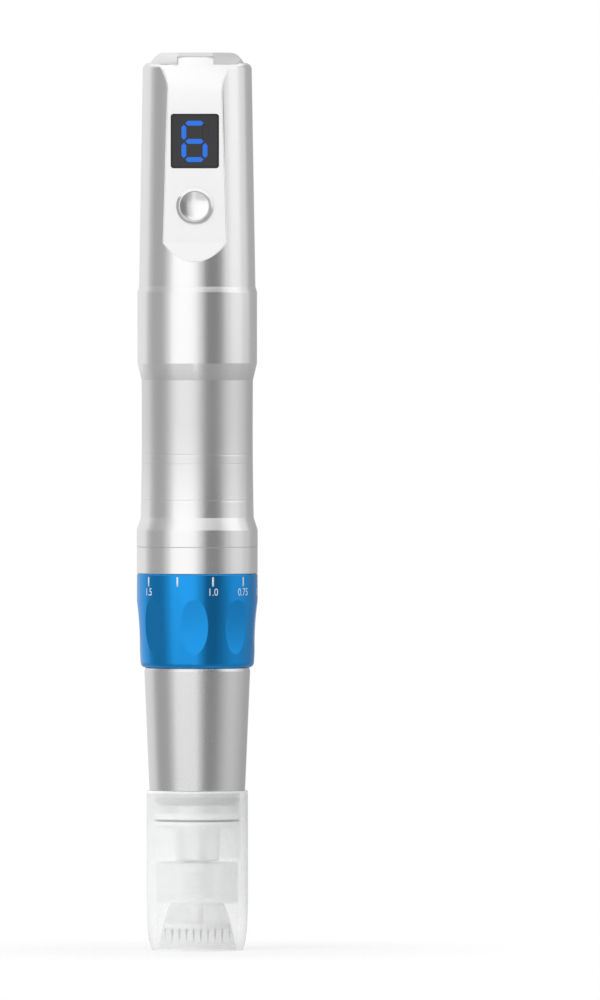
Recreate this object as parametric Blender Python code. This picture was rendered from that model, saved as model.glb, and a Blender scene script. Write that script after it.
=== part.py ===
"""A microneedling pen standing upright on its needle cartridge.

+Z is up, the display and the button face -Y, and the origin is the centre of the cartridge's rim.
Lengths are in metres. Each piece of the pen is one object.
"""

import math

import bmesh
import bpy
from mathutils import Matrix, Vector

MM = 0.001

# Clearances, cutters and facets
SEAM = 0.2 * MM
FIT = 0.2 * MM
RUNNING_GAP = 0.3 * MM
CLOSE_FIT = 0.1 * MM
OVERRUN = 2.0 * MM
WELD_DISTANCE = 0.001 * MM
ROUND_FACETS = 32
INNER_FACETS = 20
FINE_FACETS = 12
SMOOTH_ANGLE = math.radians(30)

# Cartridge
CARTRIDGE_SPREAD = 1.1 * MM
CARTRIDGE_TAPER = 10.0 * MM
CARTRIDGE_CURVE_SHARES = ((0.2, 0.6), (0.5, 0.87))
SHELL_LIP = 0.2 * MM
SHELL_WALL = 1.5 * MM
FOOT_WALL = 0.75 * MM
PARTITION = 1.0 * MM
CORE_RIM = 0.3 * MM
FLARE_MARGIN = 1.46 * MM
FLARE_NARROWING = 2.5 * MM
FLARE_DEPTH = 9.4 * MM
CORE_WEB = 1.0 * MM
SPRING_CHAMBER_RADIUS = 3.2 * MM
SPRING_CHAMBER = 5.95 * MM

# Needle head
NEEDLE_RECESS = 1.2 * MM
NEEDLE_LENGTH = 3.2 * MM
NEEDLE_RADIUS = 0.15 * MM
NEEDLE_PITCH = 1.3 * MM
NEEDLE_ROWS = (4, 5, 5, 4)
NEEDLE_PLATE = 1.0 * MM
NEEDLE_MARGIN = 0.2 * MM
NEEDLE_POINT_SHARE = 0.4
NEEDLE_TIP_SHARE = 0.1
STEM_RADIUS = 1.2 * MM
STEM_HEAD_RADIUS = 2.2 * MM
STEM_COLLAR = 0.6 * MM
STEM_COLLAR_OVERHANG = 0.2 * MM
STEM_REACH = 1.7 * MM

# Cartridge seat: neck, seal rings and nozzle
NECK_LENGTH = 7.5 * MM
SEAL_DROP = 2.05 * MM
SEAL_PITCH = 3.65 * MM
SEAL_WIRE_RADIUS = 0.65 * MM
SEAL_PROUD = 0.2 * MM
SEAL_SIDES = 8
NOZZLE_LENGTH = 6.45 * MM
NOZZLE_TOP_RADIUS = 4.7 * MM
NOZZLE_MOUTH_RADIUS = 4.35 * MM
NOZZLE_BORE_RADIUS = 2.6 * MM
SPIGOT_RADIUS = 5.8 * MM
BUSH_WALL = 1.1 * MM
BUSH_STEP = 1.8 * MM
EDGE_BREAK = 0.2 * MM

# Nose cone and the tube that joins it to the body
CONE_LENGTH = 23.8 * MM
CONE_WALL = 1.1 * MM
CONE_TAPER = 1.0 * MM
CONE_FLOOR = 1.5 * MM
TUBE_RADIUS = 9.2 * MM
TUBE_WALL = 1.1 * MM
TUBE_DEPTH = 6.0 * MM
TUBE_RISE = 10.0 * MM

# Depth ring and the index collar above it
RING_LENGTH = 18.8 * MM
RING_WALL = 2.6 * MM
RING_TAPER = 0.75 * MM
RING_STRAIGHT = 5.5 * MM
RING_CHAMFER = 0.7 * MM
SCALLOP_COUNT = 8
SCALLOP_HALF_WIDTH = 2.75 * MM
SCALLOP_HALF_HEIGHT = 5.55 * MM
SCALLOP_RISE = 8.35 * MM
SCALLOP_STEPS = 8
COLLAR_LENGTH = 4.95 * MM

# Depth drive
DEPTH_TRAVEL = 2.5 * MM
DEPTH_TURN = 343.0
LUG_DROP = 5.2 * MM
LUG_WIDTH = 2.4 * MM
LUG_HEIGHT = 1.4 * MM
LUG_PROUD = 0.9 * MM
GROOVE_END_ANGLE = 14.0
GROOVE_STEPS = 34

# Motor, cam and plunger
CARRIAGE_LENGTH = 15.5 * MM
CARRIAGE_LIP = 1.8 * MM
CARRIAGE_WALL = 0.7 * MM
CARRIAGE_FLOOR = 1.5 * MM
CARRIAGE_HOLE_RADIUS = 2.5 * MM
CAGE_WALL = 1.4 * MM
CAGE_FLOOR = 1.5 * MM
MOTOR_LENGTH = 25.3 * MM
MOTOR_WALL = 0.8 * MM
MOTOR_END = 1.5 * MM
SHAFT_RADIUS = 1.0 * MM
ARMATURE_GAP = 0.8 * MM
SHAFT_TAIL = 1.0 * MM
SHAFT_DEPTH_IN_CAM = 1.9 * MM
FOLLOWER_EDGE = 1.0 * MM
FOLLOWER_BALL_RADIUS = 1.2 * MM
CAM_OVERHANG = 1.5 * MM
CAM_THIN_EDGE = 0.6 * MM
PLUNGER_DISC = 2.0 * MM
PLUNGER_ROD_RADIUS = 1.5 * MM
KEY_WIDTH = 1.6 * MM
KEY_REACH = 0.8 * MM
TIP_RADIUS = 2.0 * MM
TIP_LENGTH = 2.1 * MM
PLUNGER_SPRING_RADIUS = 3.2 * MM
PLUNGER_SPRING_WIRE = 0.25 * MM
PLUNGER_SPRING_TURNS = 5
NEEDLE_SPRING_RADIUS = 2.0 * MM
NEEDLE_SPRING_WIRE = 0.13 * MM
NEEDLE_SPRING_TURNS = 4
SPRING_STEPS = 8

# Main body
BODY_LIP = 3.35 * MM
BODY_FLARE = 2.4 * MM
WAIST_LENGTH = 27.3 * MM
WAIST_WALL = 1.65 * MM
WAIST_HOLLOW = 0.07 * MM
WAIST_FOOT_EXTRA = 0.15 * MM
WAIST_STEPS = 4
BODY_TAPER = 3.3 * MM
GRIP_LENGTH = 14.0 * MM
GRIP_WALL = 2.47 * MM
BODY_CHAMFER = 1.1 * MM
HOLDER_RIM = 2.5 * MM
HOLDER_FLOOR = 1.2 * MM
HOLDER_HOLE_RADIUS = 2.5 * MM
HOLDER_WALL = 0.75 * MM
BATTERY_STUD_RADIUS = 2.0 * MM
COUPLER_DROP = 5.0 * MM
COUPLER_RISE = 4.4 * MM
COUPLER_WALL = 1.4 * MM

# Rear sleeve with its flat front
SLEEVE_LENGTH = 43.9 * MM
SLEEVE_FOOT_WALL = 2.35 * MM
SLEEVE_TOP_WALL = 1.6 * MM
FLAT_SKIN = 0.25 * MM
FLAT_ARC_RADIUS = 11.8 * MM
RUNOUT_START_SHARE = 0.109
FLAT_START_SHARE = 0.196
BUTTON_SHARE = 0.362
DISPLAY_SHARE = 0.655
ARC_START_SHARE = 0.872
PANEL_THICKNESS = 1.3 * MM
PANEL_RIM = 0.35 * MM
STRIP_HALF_WIDTH = 3.4 * MM
STRIP_START_SHARE = 0.89
SIDE_LEAN = 0.3
RUNOUT_SHARES = (0.03, 0.12, 0.3, 0.55, 0.8)
ARC_STEPS = 4

# Top cap and charging socket
CAP_RISE = 2.4 * MM
CAP_OVERHANG = 0.3 * MM
CAP_DOME_INSET = 2.7 * MM
CAP_CURVE_SHARES = ((0.42, 0.22), (0.79, 0.56))
CAP_PLUG_DEPTH = 4.0 * MM
CAP_PLUG_WALL = 1.2 * MM
CAP_CROWN = 3.0 * MM
PANEL_TOP_DROP = 0.9 * MM
PANEL_SHOULDER = 0.05 * MM
SOCKET_WIDTH = 8.9 * MM
SOCKET_HEIGHT = 3.2 * MM
SOCKET_DEPTH = 6.6 * MM
SOCKET_WALL = 0.3 * MM
SOCKET_SETBACK = 0.3 * MM
SOCKET_OFFSET = 1.0 * MM
SOCKET_END_STEPS = 6
TONGUE_WIDTH = 6.6 * MM
TONGUE_HEIGHT = 0.7 * MM
TONGUE_LENGTH = 4.4 * MM
CHARGE_BOARD = 1.0 * MM

# Display
WINDOW_SIDE = 0.6 * MM
WINDOW_HEIGHT = 10.8 * MM
WINDOW_CORNER = 0.6 * MM
LENS_THICKNESS = 1.0 * MM
LENS_SETBACK = 0.05 * MM
DIGIT_HALF_WIDTH = 2.1 * MM
DIGIT_ROW = 3.6 * MM
SEGMENT_WIDTH = 1.1 * MM
SEGMENT_END_GAP = 0.3 * MM
SEGMENT_FIT = 0.08 * MM
GUIDE_THICKNESS = 0.5 * MM
GUIDE_MARGIN = 0.6 * MM
MODULE_MARGIN = 0.4 * MM

# Button, switch and circuit board
BEZEL_RADIUS = 3.65 * MM
BEZEL_PROUD = 0.45 * MM
BEZEL_LIP = 0.35 * MM
BEZEL_SKIRT = 0.3 * MM
BUTTON_RADIUS = 2.8 * MM
BUTTON_PROUD = 0.3 * MM
BUTTON_DISH = 0.55 * MM
BUTTON_DISH_SHARES = ((0.6, 0.64), (0.3, 0.91))
BUTTON_TRAVEL = 0.5 * MM
BUTTON_FLANGE = 0.4 * MM
BUTTON_FLANGE_REACH = 0.4 * MM
BUTTON_STEM_RADIUS = 1.0 * MM
BUTTON_STEM = 0.3 * MM
SWITCH_HALF_WIDTH = 2.0 * MM
SWITCH_BODY = 0.6 * MM
SWITCH_ACTUATOR_RADIUS = 0.9 * MM
SWITCH_ACTUATOR = 0.2 * MM
BOARD_HALF_WIDTH = 5.0 * MM
BOARD_THICKNESS = 1.0 * MM
BOARD_END_GAP = 0.7 * MM
BOSS_RADIUS = 1.1 * MM
BOSS_INSET = 1.6 * MM
SCREW_RADIUS = 0.45 * MM
SCREW_HEAD_RADIUS = 0.9 * MM
SCREW_HEAD = 0.6 * MM
LEAD_RADIUS = 0.4 * MM
LEAD_SPREAD = 2.0 * MM
LEAD_STEPS = 5
LEAD_BEND_SHARES = (0.3, 0.8)

# Heights that follow from the sizes above, from the bottom up
CORE_TOP = FLARE_DEPTH + CORE_WEB + SPRING_CHAMBER
PARTITION_BOTTOM = CORE_TOP + FIT
PARTITION_TOP = PARTITION_BOTTOM + PARTITION
NOZZLE_BOTTOM = PARTITION_TOP + FIT
NECK_BOTTOM = NOZZLE_BOTTOM + NOZZLE_LENGTH
NECK_TOP = NECK_BOTTOM + NECK_LENGTH
CARTRIDGE_LENGTH = NECK_TOP
STEM_TOP = NOZZLE_BOTTOM + STEM_REACH
CONE_BOTTOM = CARTRIDGE_LENGTH + SEAM
CONE_FLOOR_TOP = CONE_BOTTOM + CONE_FLOOR
CONE_TOP = CONE_BOTTOM + CONE_LENGTH
RING_BOTTOM = CONE_TOP + SEAM
RING_TOP = RING_BOTTOM + RING_LENGTH
COLLAR_BOTTOM = RING_TOP + SEAM
COLLAR_TOP = COLLAR_BOTTOM + COLLAR_LENGTH
BODY_BOTTOM = COLLAR_TOP + SEAM
BODY_TOP = BODY_BOTTOM + BODY_LIP + BODY_FLARE + WAIST_LENGTH + BODY_TAPER + GRIP_LENGTH + BODY_CHAMFER
SLEEVE_BOTTOM = BODY_TOP + SEAM
SLEEVE_TOP = SLEEVE_BOTTOM + SLEEVE_LENGTH
CAP_BOTTOM = SLEEVE_TOP + SEAM
CAP_TOP = SLEEVE_TOP + CAP_RISE
TUBE_BOTTOM = CONE_TOP - TUBE_DEPTH
TUBE_TOP = BODY_BOTTOM + TUBE_RISE

# Radii of the cartridge and of the neck that it fits, which follow from the field of needles
NEEDLE_COLUMNS_SHARE = max(NEEDLE_ROWS) - 0.5
NEEDLE_ROW_SHARE = (len(NEEDLE_ROWS) - 1) / 2 - NEEDLE_ROWS.index(max(NEEDLE_ROWS))
FIELD_RADIUS = NEEDLE_PITCH * math.hypot(NEEDLE_COLUMNS_SHARE, NEEDLE_ROW_SHARE)
PLATE_RADIUS = FIELD_RADIUS + NEEDLE_RADIUS + NEEDLE_MARGIN
FLARE_MOUTH_RADIUS = PLATE_RADIUS + FLARE_MARGIN
FLARE_TOP_RADIUS = FLARE_MOUTH_RADIUS - FLARE_NARROWING
CORE_RADIUS = FLARE_MOUTH_RADIUS + CORE_RIM
CARTRIDGE_FOOT_RADIUS = CORE_RADIUS + FIT + FOOT_WALL
CARTRIDGE_RADIUS = CARTRIDGE_FOOT_RADIUS + CARTRIDGE_SPREAD
NECK_RADIUS = CARTRIDGE_RADIUS - SHELL_WALL - FIT - SEAL_PROUD

# Radii that follow from the inner tube's, on which the turned pieces sit
TUBE_BORE_RADIUS = TUBE_RADIUS - TUBE_WALL
CHASSIS_BORE_RADIUS = TUBE_RADIUS + FIT
CONE_TOP_RADIUS = CHASSIS_BORE_RADIUS + CONE_WALL
CONE_BOTTOM_RADIUS = CONE_TOP_RADIUS - CONE_TAPER
RING_RADIUS = CHASSIS_BORE_RADIUS + RING_WALL
RING_FOOT_RADIUS = RING_RADIUS - RING_TAPER
COLLAR_RADIUS = RING_RADIUS
BODY_RADIUS = COLLAR_RADIUS
WAIST_RADIUS = CHASSIS_BORE_RADIUS + WAIST_WALL
GRIP_RADIUS = CHASSIS_BORE_RADIUS + GRIP_WALL
BATTERY_RADIUS = CHASSIS_BORE_RADIUS - 2 * FIT - HOLDER_WALL
SLEEVE_BORE_RADIUS = TUBE_RADIUS
SLEEVE_BOTTOM_RADIUS = SLEEVE_BORE_RADIUS + SLEEVE_FOOT_WALL
SLEEVE_TOP_RADIUS = SLEEVE_BORE_RADIUS + SLEEVE_TOP_WALL
FLAT_DISTANCE = SLEEVE_BORE_RADIUS + FLAT_SKIN
CAP_RADIUS = SLEEVE_BORE_RADIUS + CAP_OVERHANG
CAP_TOP_RADIUS = CAP_RADIUS - CAP_DOME_INSET

# The carriage, which the depth ring drives, and what it carries
LUG_Z = RING_TOP - LUG_DROP
CARRIAGE_RADIUS = TUBE_BORE_RADIUS - FIT
CARRIAGE_TOP = LUG_Z + LUG_HEIGHT / 2 + CARRIAGE_LIP
CARRIAGE_BOTTOM = CARRIAGE_TOP - CARRIAGE_LENGTH
MOTOR_RADIUS = CARRIAGE_RADIUS - CARRIAGE_WALL - FIT
MOTOR_BOTTOM = CARRIAGE_BOTTOM + CARRIAGE_FLOOR + FIT
MOTOR_TOP = MOTOR_BOTTOM + MOTOR_LENGTH
CAGE_TOP = CARRIAGE_BOTTOM - SEAM
CAGE_BOTTOM = CONE_FLOOR_TOP + DEPTH_TRAVEL + RUNNING_GAP
CAGE_FLOOR_TOP = CAGE_BOTTOM + CAGE_FLOOR
CAGE_BORE_RADIUS = CARRIAGE_RADIUS - CAGE_WALL
DISC_RADIUS = CAGE_BORE_RADIUS - RUNNING_GAP
FOLLOWER_OFFSET = DISC_RADIUS - FOLLOWER_BALL_RADIUS - FOLLOWER_EDGE
NEEDLE_STROKE = NEEDLE_RECESS + DEPTH_TRAVEL
CAM_RADIUS = FOLLOWER_OFFSET + CAM_OVERHANG
CAM_SLOPE = NEEDLE_STROKE / (2 * FOLLOWER_OFFSET)
CAM_TOP = CAGE_TOP - RUNNING_GAP
CAM_MIDDLE = CAM_TOP - CAM_THIN_EDGE - CAM_SLOPE * CAM_RADIUS
CAM_LOWEST = CAM_MIDDLE - CAM_SLOPE * CAM_RADIUS
BALL_Z = CAM_LOWEST - RUNNING_GAP - FOLLOWER_BALL_RADIUS
DISC_BOTTOM = BALL_Z - PLUNGER_DISC
TIP_BOTTOM = STEM_TOP + DEPTH_TRAVEL + RUNNING_GAP
ROD_BOTTOM = TIP_BOTTOM + TIP_LENGTH + FIT
BUSH_BORE_RADIUS = PLUNGER_ROD_RADIUS + RUNNING_GAP
BUSH_RADIUS = BUSH_BORE_RADIUS + BUSH_WALL
BUSH_BOTTOM = NECK_BOTTOM + BUSH_STEP

# The front: depth of the flat, its runout and its curved top, and the panel that lies in it
RUNOUT_START = SLEEVE_BOTTOM + RUNOUT_START_SHARE * SLEEVE_LENGTH
FLAT_START = SLEEVE_BOTTOM + FLAT_START_SHARE * SLEEVE_LENGTH
BUTTON_Z = SLEEVE_BOTTOM + BUTTON_SHARE * SLEEVE_LENGTH
DISPLAY_Z = SLEEVE_BOTTOM + DISPLAY_SHARE * SLEEVE_LENGTH
ARC_START = SLEEVE_BOTTOM + ARC_START_SHARE * SLEEVE_LENGTH
STRIP_START = SLEEVE_BOTTOM + STRIP_START_SHARE * SLEEVE_LENGTH
PANEL_TOP = CAP_TOP - PANEL_TOP_DROP
LENS_BACK = LENS_SETBACK + LENS_THICKNESS
GUIDE_FRONT = LENS_BACK + CLOSE_FIT
GUIDE_BACK = GUIDE_FRONT + GUIDE_THICKNESS
BUTTON_BACK = PANEL_THICKNESS + BUTTON_FLANGE
SWITCH_FRONT = BUTTON_BACK + BUTTON_STEM + BUTTON_TRAVEL + RUNNING_GAP
BOARD_FRONT = SWITCH_FRONT + SWITCH_ACTUATOR + SWITCH_BODY + FIT
BOARD_BOTTOM = FLAT_START + BOARD_END_GAP
BOARD_TOP = ARC_START - BOARD_END_GAP
SCREW_HEIGHTS = {"lower": BOARD_BOTTOM + BOSS_INSET, "upper": BOARD_TOP - BOSS_INSET}


def make_materials():
    """One Principled material for each finish: name, colour, roughness, metallic, alpha."""
    finishes = (
        ("satin_aluminium", (0.80, 0.80, 0.81), 0.30, 1.0, 1.0),
        ("pearl_white", (0.90, 0.90, 0.90), 0.35, 0.0, 1.0),
        ("blue_anodised", (0.03, 0.30, 0.75), 0.30, 0.8, 1.0),
        ("bright_metal", (0.85, 0.85, 0.86), 0.15, 1.0, 1.0),
        ("clear_plastic", (0.90, 0.92, 0.93), 0.15, 0.0, 0.35),
        ("frosted_plastic", (0.88, 0.90, 0.91), 0.45, 0.0, 0.6),
        ("black_rubber", (0.02, 0.02, 0.02), 0.60, 0.0, 1.0),
        ("black_plastic", (0.04, 0.04, 0.045), 0.40, 0.0, 1.0),
        ("display_dark", (0.04, 0.04, 0.05), 0.20, 0.0, 1.0),
        ("display_blue", (0.04, 0.22, 0.85), 0.40, 0.0, 1.0),
        ("white_plastic", (0.85, 0.85, 0.84), 0.45, 0.0, 1.0),
        ("board_green", (0.02, 0.16, 0.07), 0.50, 0.0, 1.0),
        ("steel", (0.55, 0.56, 0.58), 0.30, 1.0, 1.0),
        ("bronze", (0.60, 0.42, 0.20), 0.35, 1.0, 1.0),
        ("cell_wrap", (0.10, 0.20, 0.45), 0.45, 0.0, 1.0),
        ("lead_red", (0.55, 0.03, 0.03), 0.50, 0.0, 1.0),
    )
    for name, colour, roughness, metallic, alpha in finishes:
        material = bpy.data.materials.new(name)
        material.use_nodes = True
        shader = material.node_tree.nodes["Principled BSDF"]
        shader.inputs["Base Color"].default_value = (*colour, 1.0)
        shader.inputs["Roughness"].default_value = roughness
        shader.inputs["Metallic"].default_value = metallic
        shader.inputs["Alpha"].default_value = alpha


def placed(name, mesh_or_curve, material, parent=None):
    """Links new data to the scene as one object with its finish."""
    piece = bpy.data.objects.new(name, mesh_or_curve)
    bpy.context.scene.collection.objects.link(piece)
    if material:
        mesh_or_curve.materials.append(bpy.data.materials[material])
    if parent:
        piece.parent = parent
    return piece


def mesh_of(name, shape):
    """Turns a closed bmesh into a mesh with its faces pointing out, smooth where the facets are shallow."""
    bmesh.ops.remove_doubles(shape, verts=shape.verts, dist=WELD_DISTANCE)
    bmesh.ops.recalc_face_normals(shape, faces=shape.faces)
    mesh = bpy.data.meshes.new(name)
    shape.to_mesh(mesh)
    shape.free()
    mesh.shade_smooth()
    mesh.set_sharp_from_angle(angle=SMOOTH_ANGLE)
    return mesh


def turned(name, outline, material, facets=ROUND_FACETS):
    """Spins an outline of (radius, height) points about Z. It closes on itself, or ends on the axis."""
    shape = bmesh.new()
    points = [shape.verts.new((radius, 0, height)) for radius, height in outline]
    edges = [shape.edges.new(pair) for pair in zip(points, points[1:])]
    if outline[0][0] > 0:
        edges.append(shape.edges.new((points[-1], points[0])))
    bmesh.ops.spin(
        shape,
        geom=points + edges,
        cent=(0, 0, 0),
        axis=(0, 0, 1),
        angle=math.tau,
        steps=facets,
        use_merge=True,
    )
    return placed(name, mesh_of(name, shape), material)


def lofted(name, sections, material):
    """Skins a row of like outlines and closes both ends."""
    shape = bmesh.new()
    add_loft(shape, sections)
    return placed(name, mesh_of(name, shape), material)


def add_loft(shape, sections):
    """Adds one skinned body to a bmesh."""
    loops = [[shape.verts.new(point) for point in section] for section in sections]
    for low, high in zip(loops, loops[1:]):
        for i, point in enumerate(low):
            after = (i + 1) % len(low)
            shape.faces.new((point, low[after], high[after], high[i]))
    shape.faces.new(reversed(loops[0]))
    shape.faces.new(loops[-1])


def upright_prism(outline, bottom, top):
    """The two sections of a prism along Z from an outline of (x, y) points."""
    return [[(x, y, height) for x, y in outline] for height in (bottom, top)]


def block(name, low, high, material):
    """A rectangular block between two corners."""
    outline = ((low[0], low[1]), (high[0], low[1]), (high[0], high[1]), (low[0], high[1]))
    return lofted(name, upright_prism(outline, low[2], high[2]), material)


def round_outline(radius, facets, centre=(0, 0)):
    """Points on a circle."""
    angles = [math.tau * i / facets for i in range(facets)]
    return [(centre[0] + radius * math.cos(a), centre[1] + radius * math.sin(a)) for a in angles]


def stadium_outline(width, height, centre_y):
    """A slot with round ends, along X."""
    radius = height / 2
    straight = width / 2 - radius
    outline = []
    for side in (1, -1):
        for i in range(SOCKET_END_STEPS + 1):
            angle = math.pi * (i / SOCKET_END_STEPS) - side * math.pi / 2
            x = side * straight + radius * math.cos(angle)
            outline.append((x, centre_y + radius * math.sin(angle)))
    return outline


def rounded_rectangle(half_width, half_height, corner):
    """A rectangle about the origin whose corners are cut to short arcs."""
    outline = []
    for quarter, (side_x, side_y) in enumerate(((1, 1), (-1, 1), (-1, -1), (1, -1))):
        for i in range(3):
            angle = math.pi / 2 * (quarter + i / 2)
            x = side_x * (half_width - corner) + corner * math.cos(angle)
            y = side_y * (half_height - corner) + corner * math.sin(angle)
            outline.append((x, y))
    return outline


def changed(piece, tool, operation):
    """Cuts or joins another shape, which is then only a guide."""
    step = piece.modifiers.new(tool.name, "BOOLEAN")
    step.operation = operation
    step.object = tool
    tool.hide_render = True
    tool.display_type = "WIRE"


def cut(piece, tool):
    changed(piece, tool, "DIFFERENCE")


def join(piece, tool):
    changed(piece, tool, "UNION")


def face_panel(piece, height=0.0, inwards=0.0):
    """Places a piece modelled along +Z so that it looks out of the flat, at a height and a depth behind it."""
    piece.location = (0, -FLAT_DISTANCE + inwards, height)
    piece.rotation_euler = (math.pi / 2, 0, 0)
    return piece


def drawn_wire(name, points, radius, material, sides=1):
    """A round wire along points, with closed ends."""
    curve = bpy.data.curves.new(name, "CURVE")
    curve.dimensions = "3D"
    curve.bevel_depth = radius
    curve.bevel_resolution = sides
    curve.use_fill_caps = True
    line = curve.splines.new("POLY")
    line.points.add(len(points) - 1)
    for point, place in zip(line.points, points):
        point.co = (*place, 1)
    return placed(name, curve, material)


def coil_points(radius, bottom, top, turns):
    """Points of a compression spring that rises steadily."""
    count = turns * SPRING_STEPS
    points = []
    for i in range(count + 1):
        angle = math.tau * i / SPRING_STEPS
        height = bottom + (top - bottom) * (i / count)
        points.append((radius * math.cos(angle), radius * math.sin(angle), height))
    return points


def sleeve_radius(height):
    """Outer radius of the rear sleeve, or of the dome above it."""
    if height <= SLEEVE_TOP:
        share = (height - SLEEVE_BOTTOM) / SLEEVE_LENGTH
        return SLEEVE_BOTTOM_RADIUS + share * (SLEEVE_TOP_RADIUS - SLEEVE_BOTTOM_RADIUS)
    outline = dome_outline()
    for (wide, low), (narrow, high) in zip(outline, outline[1:]):
        if height <= high:
            return wide + (narrow - wide) * max(height - low, 0) / (high - low)
    return CAP_TOP_RADIUS


def dome_outline():
    """The cap's outer curve, from its foot to the flat top."""
    outline = [(CAP_RADIUS, CAP_BOTTOM)]
    for rise, inset in CAP_CURVE_SHARES:
        radius = CAP_RADIUS - inset * (CAP_RADIUS - CAP_TOP_RADIUS)
        outline.append((radius, CAP_BOTTOM + rise * (CAP_TOP - CAP_BOTTOM)))
    return outline + [(CAP_TOP_RADIUS, CAP_TOP)]


def front_depth(height):
    """How far the front surface lies from the pen's axis: runout, flat, then an arc that leans back."""
    if height < FLAT_START:
        share = (FLAT_START - height) / (FLAT_START - RUNOUT_START)
        return FLAT_DISTANCE + share * (sleeve_radius(RUNOUT_START) - FLAT_DISTANCE)
    if height <= ARC_START:
        return FLAT_DISTANCE
    rise = min(height - ARC_START, FLAT_ARC_RADIUS)
    return FLAT_DISTANCE - FLAT_ARC_RADIUS + math.sqrt(FLAT_ARC_RADIUS**2 - rise**2)


def panel_half_width(height):
    """Half the width of the flat less a rim of sleeve beside it, or of the tongue that runs up into the cap."""
    if height >= SLEEVE_TOP:
        return STRIP_HALF_WIDTH + PANEL_RIM
    chord = sleeve_radius(height) ** 2 - front_depth(height) ** 2
    return max(math.sqrt(max(chord, 0)) - PANEL_RIM, PANEL_RIM)


def window_half_width():
    """Half the width of the display window, which leaves an even strip of panel at each side."""
    return panel_half_width(DISPLAY_Z) - WINDOW_SIDE


def panel_heights():
    """Heights of the sections that the panel and its pocket share."""
    runout = [RUNOUT_START + share * (FLAT_START - RUNOUT_START) for share in RUNOUT_SHARES]
    shoulder = SLEEVE_TOP - PANEL_SHOULDER
    arc = [ARC_START + (shoulder - ARC_START) * i / ARC_STEPS for i in range(ARC_STEPS + 1)]
    return runout + [FLAT_START] + arc + [SLEEVE_TOP, (CAP_BOTTOM + PANEL_TOP) / 2, PANEL_TOP]


def side_lean(height):
    """How steeply the front falls away beside its middle strip: not at all at the display, more towards the cap."""
    share = (height - STRIP_START) / (SLEEVE_TOP - STRIP_START)
    return SIDE_LEAN * min(max(share, 0), 1) ** 2


def front_sections(side, front, back, heights, lean=side_lean):
    """Outlines across the front, between a depth in front of the surface and one behind it."""
    sections = []
    for height in heights:
        surface = front_depth(height)
        far = -surface + back
        half = side(height)
        strip = min(STRIP_HALF_WIDTH, (half + PANEL_RIM) / 2)
        near = -surface - front
        fall = lean(height) * (half - strip)
        outline = ((-half, near + fall), (-strip, near), (strip, near), (half, near + fall), (half, far), (-half, far))
        sections.append([(x, y, height) for x, y in outline])
    return sections


def sleeve_flat_cutter():
    """Everything in front of the flat, its runout and its arc."""
    reach = SLEEVE_BOTTOM_RADIUS + OVERRUN
    heights = [RUNOUT_START - OVERRUN, FLAT_START]
    heights += [ARC_START + (CAP_TOP - ARC_START) * i / (2 * ARC_STEPS) for i in range(2 * ARC_STEPS + 1)]
    sections = front_sections(lambda height: reach, reach, 0, heights, lambda height: 0)
    return lofted("sleeve_flat_guide", sections, None)


def cap_front_cutter():
    """What the cap's dome loses beside the panel's tongue. Its level end leaves a ledge above the tongue."""
    top = PANEL_TOP + SEAM
    sections = []
    for height in (SLEEVE_TOP - CAP_PLUG_DEPTH - OVERRUN, CAP_BOTTOM, (CAP_BOTTOM + top) / 2, top):
        surface = -front_depth(height)
        reach = SLEEVE_BOTTOM_RADIUS + OVERRUN
        side = surface + side_lean(height) * (reach - STRIP_HALF_WIDTH)
        front = -reach - OVERRUN
        outline = ((-reach, front), (reach, front), (reach, side), (STRIP_HALF_WIDTH, surface))
        outline += ((-STRIP_HALF_WIDTH, surface), (-reach, side))
        sections.append([(x, y, height) for x, y in outline])
    return lofted("cap_front_guide", sections, None)


def pocket_cutter(name, top):
    """The recess that the front panel lies in."""
    heights = [height for height in panel_heights() if height < top]
    bottom = heights[0] - SEAM
    sections = front_sections(
        lambda height: panel_half_width(max(height, heights[0])) + FIT,
        2 * OVERRUN,
        PANEL_THICKNESS + FIT,
        [bottom] + heights + [top],
    )
    return lofted(name, sections, None)


def cartridge_shell():
    bore = CORE_RADIUS + FIT
    socket = CARTRIDGE_RADIUS - SHELL_WALL
    hole = STEM_HEAD_RADIUS + RUNNING_GAP
    spread = CARTRIDGE_RADIUS - CARTRIDGE_FOOT_RADIUS
    outline = [
        (bore, 0),
        (CARTRIDGE_FOOT_RADIUS, 0),
        *[(CARTRIDGE_FOOT_RADIUS + wide * spread, rise * CARTRIDGE_TAPER) for rise, wide in CARTRIDGE_CURVE_SHARES],
        (CARTRIDGE_RADIUS, CARTRIDGE_TAPER),
        (CARTRIDGE_RADIUS, CARTRIDGE_LENGTH - SHELL_LIP),
        (CARTRIDGE_RADIUS - SHELL_LIP, CARTRIDGE_LENGTH),
        (socket, CARTRIDGE_LENGTH),
        (socket, PARTITION_TOP),
        (hole, PARTITION_TOP),
        (hole, PARTITION_BOTTOM),
        (bore, PARTITION_BOTTOM),
    ]
    turned("cartridge_shell", outline, "clear_plastic")


def cartridge_core():
    bore = STEM_RADIUS + RUNNING_GAP
    web = FLARE_DEPTH + CORE_WEB
    outline = [
        (FLARE_MOUTH_RADIUS, 0),
        (CORE_RADIUS, 0),
        (CORE_RADIUS, CORE_TOP),
        (SPRING_CHAMBER_RADIUS, CORE_TOP),
        (SPRING_CHAMBER_RADIUS, web),
        (bore, web),
        (bore, FLARE_DEPTH),
        (FLARE_TOP_RADIUS, FLARE_DEPTH),
    ]
    turned("cartridge_core", outline, "frosted_plastic")


def needle_places():
    """Middle of each needle: rows of even pitch, with the short rows outside."""
    places = []
    for row, pairs in enumerate(NEEDLE_ROWS):
        y = (row - (len(NEEDLE_ROWS) - 1) / 2) * NEEDLE_PITCH
        for column in range(-pairs, pairs):
            places.append(((column + 0.5) * NEEDLE_PITCH, y))
    return places


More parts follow.
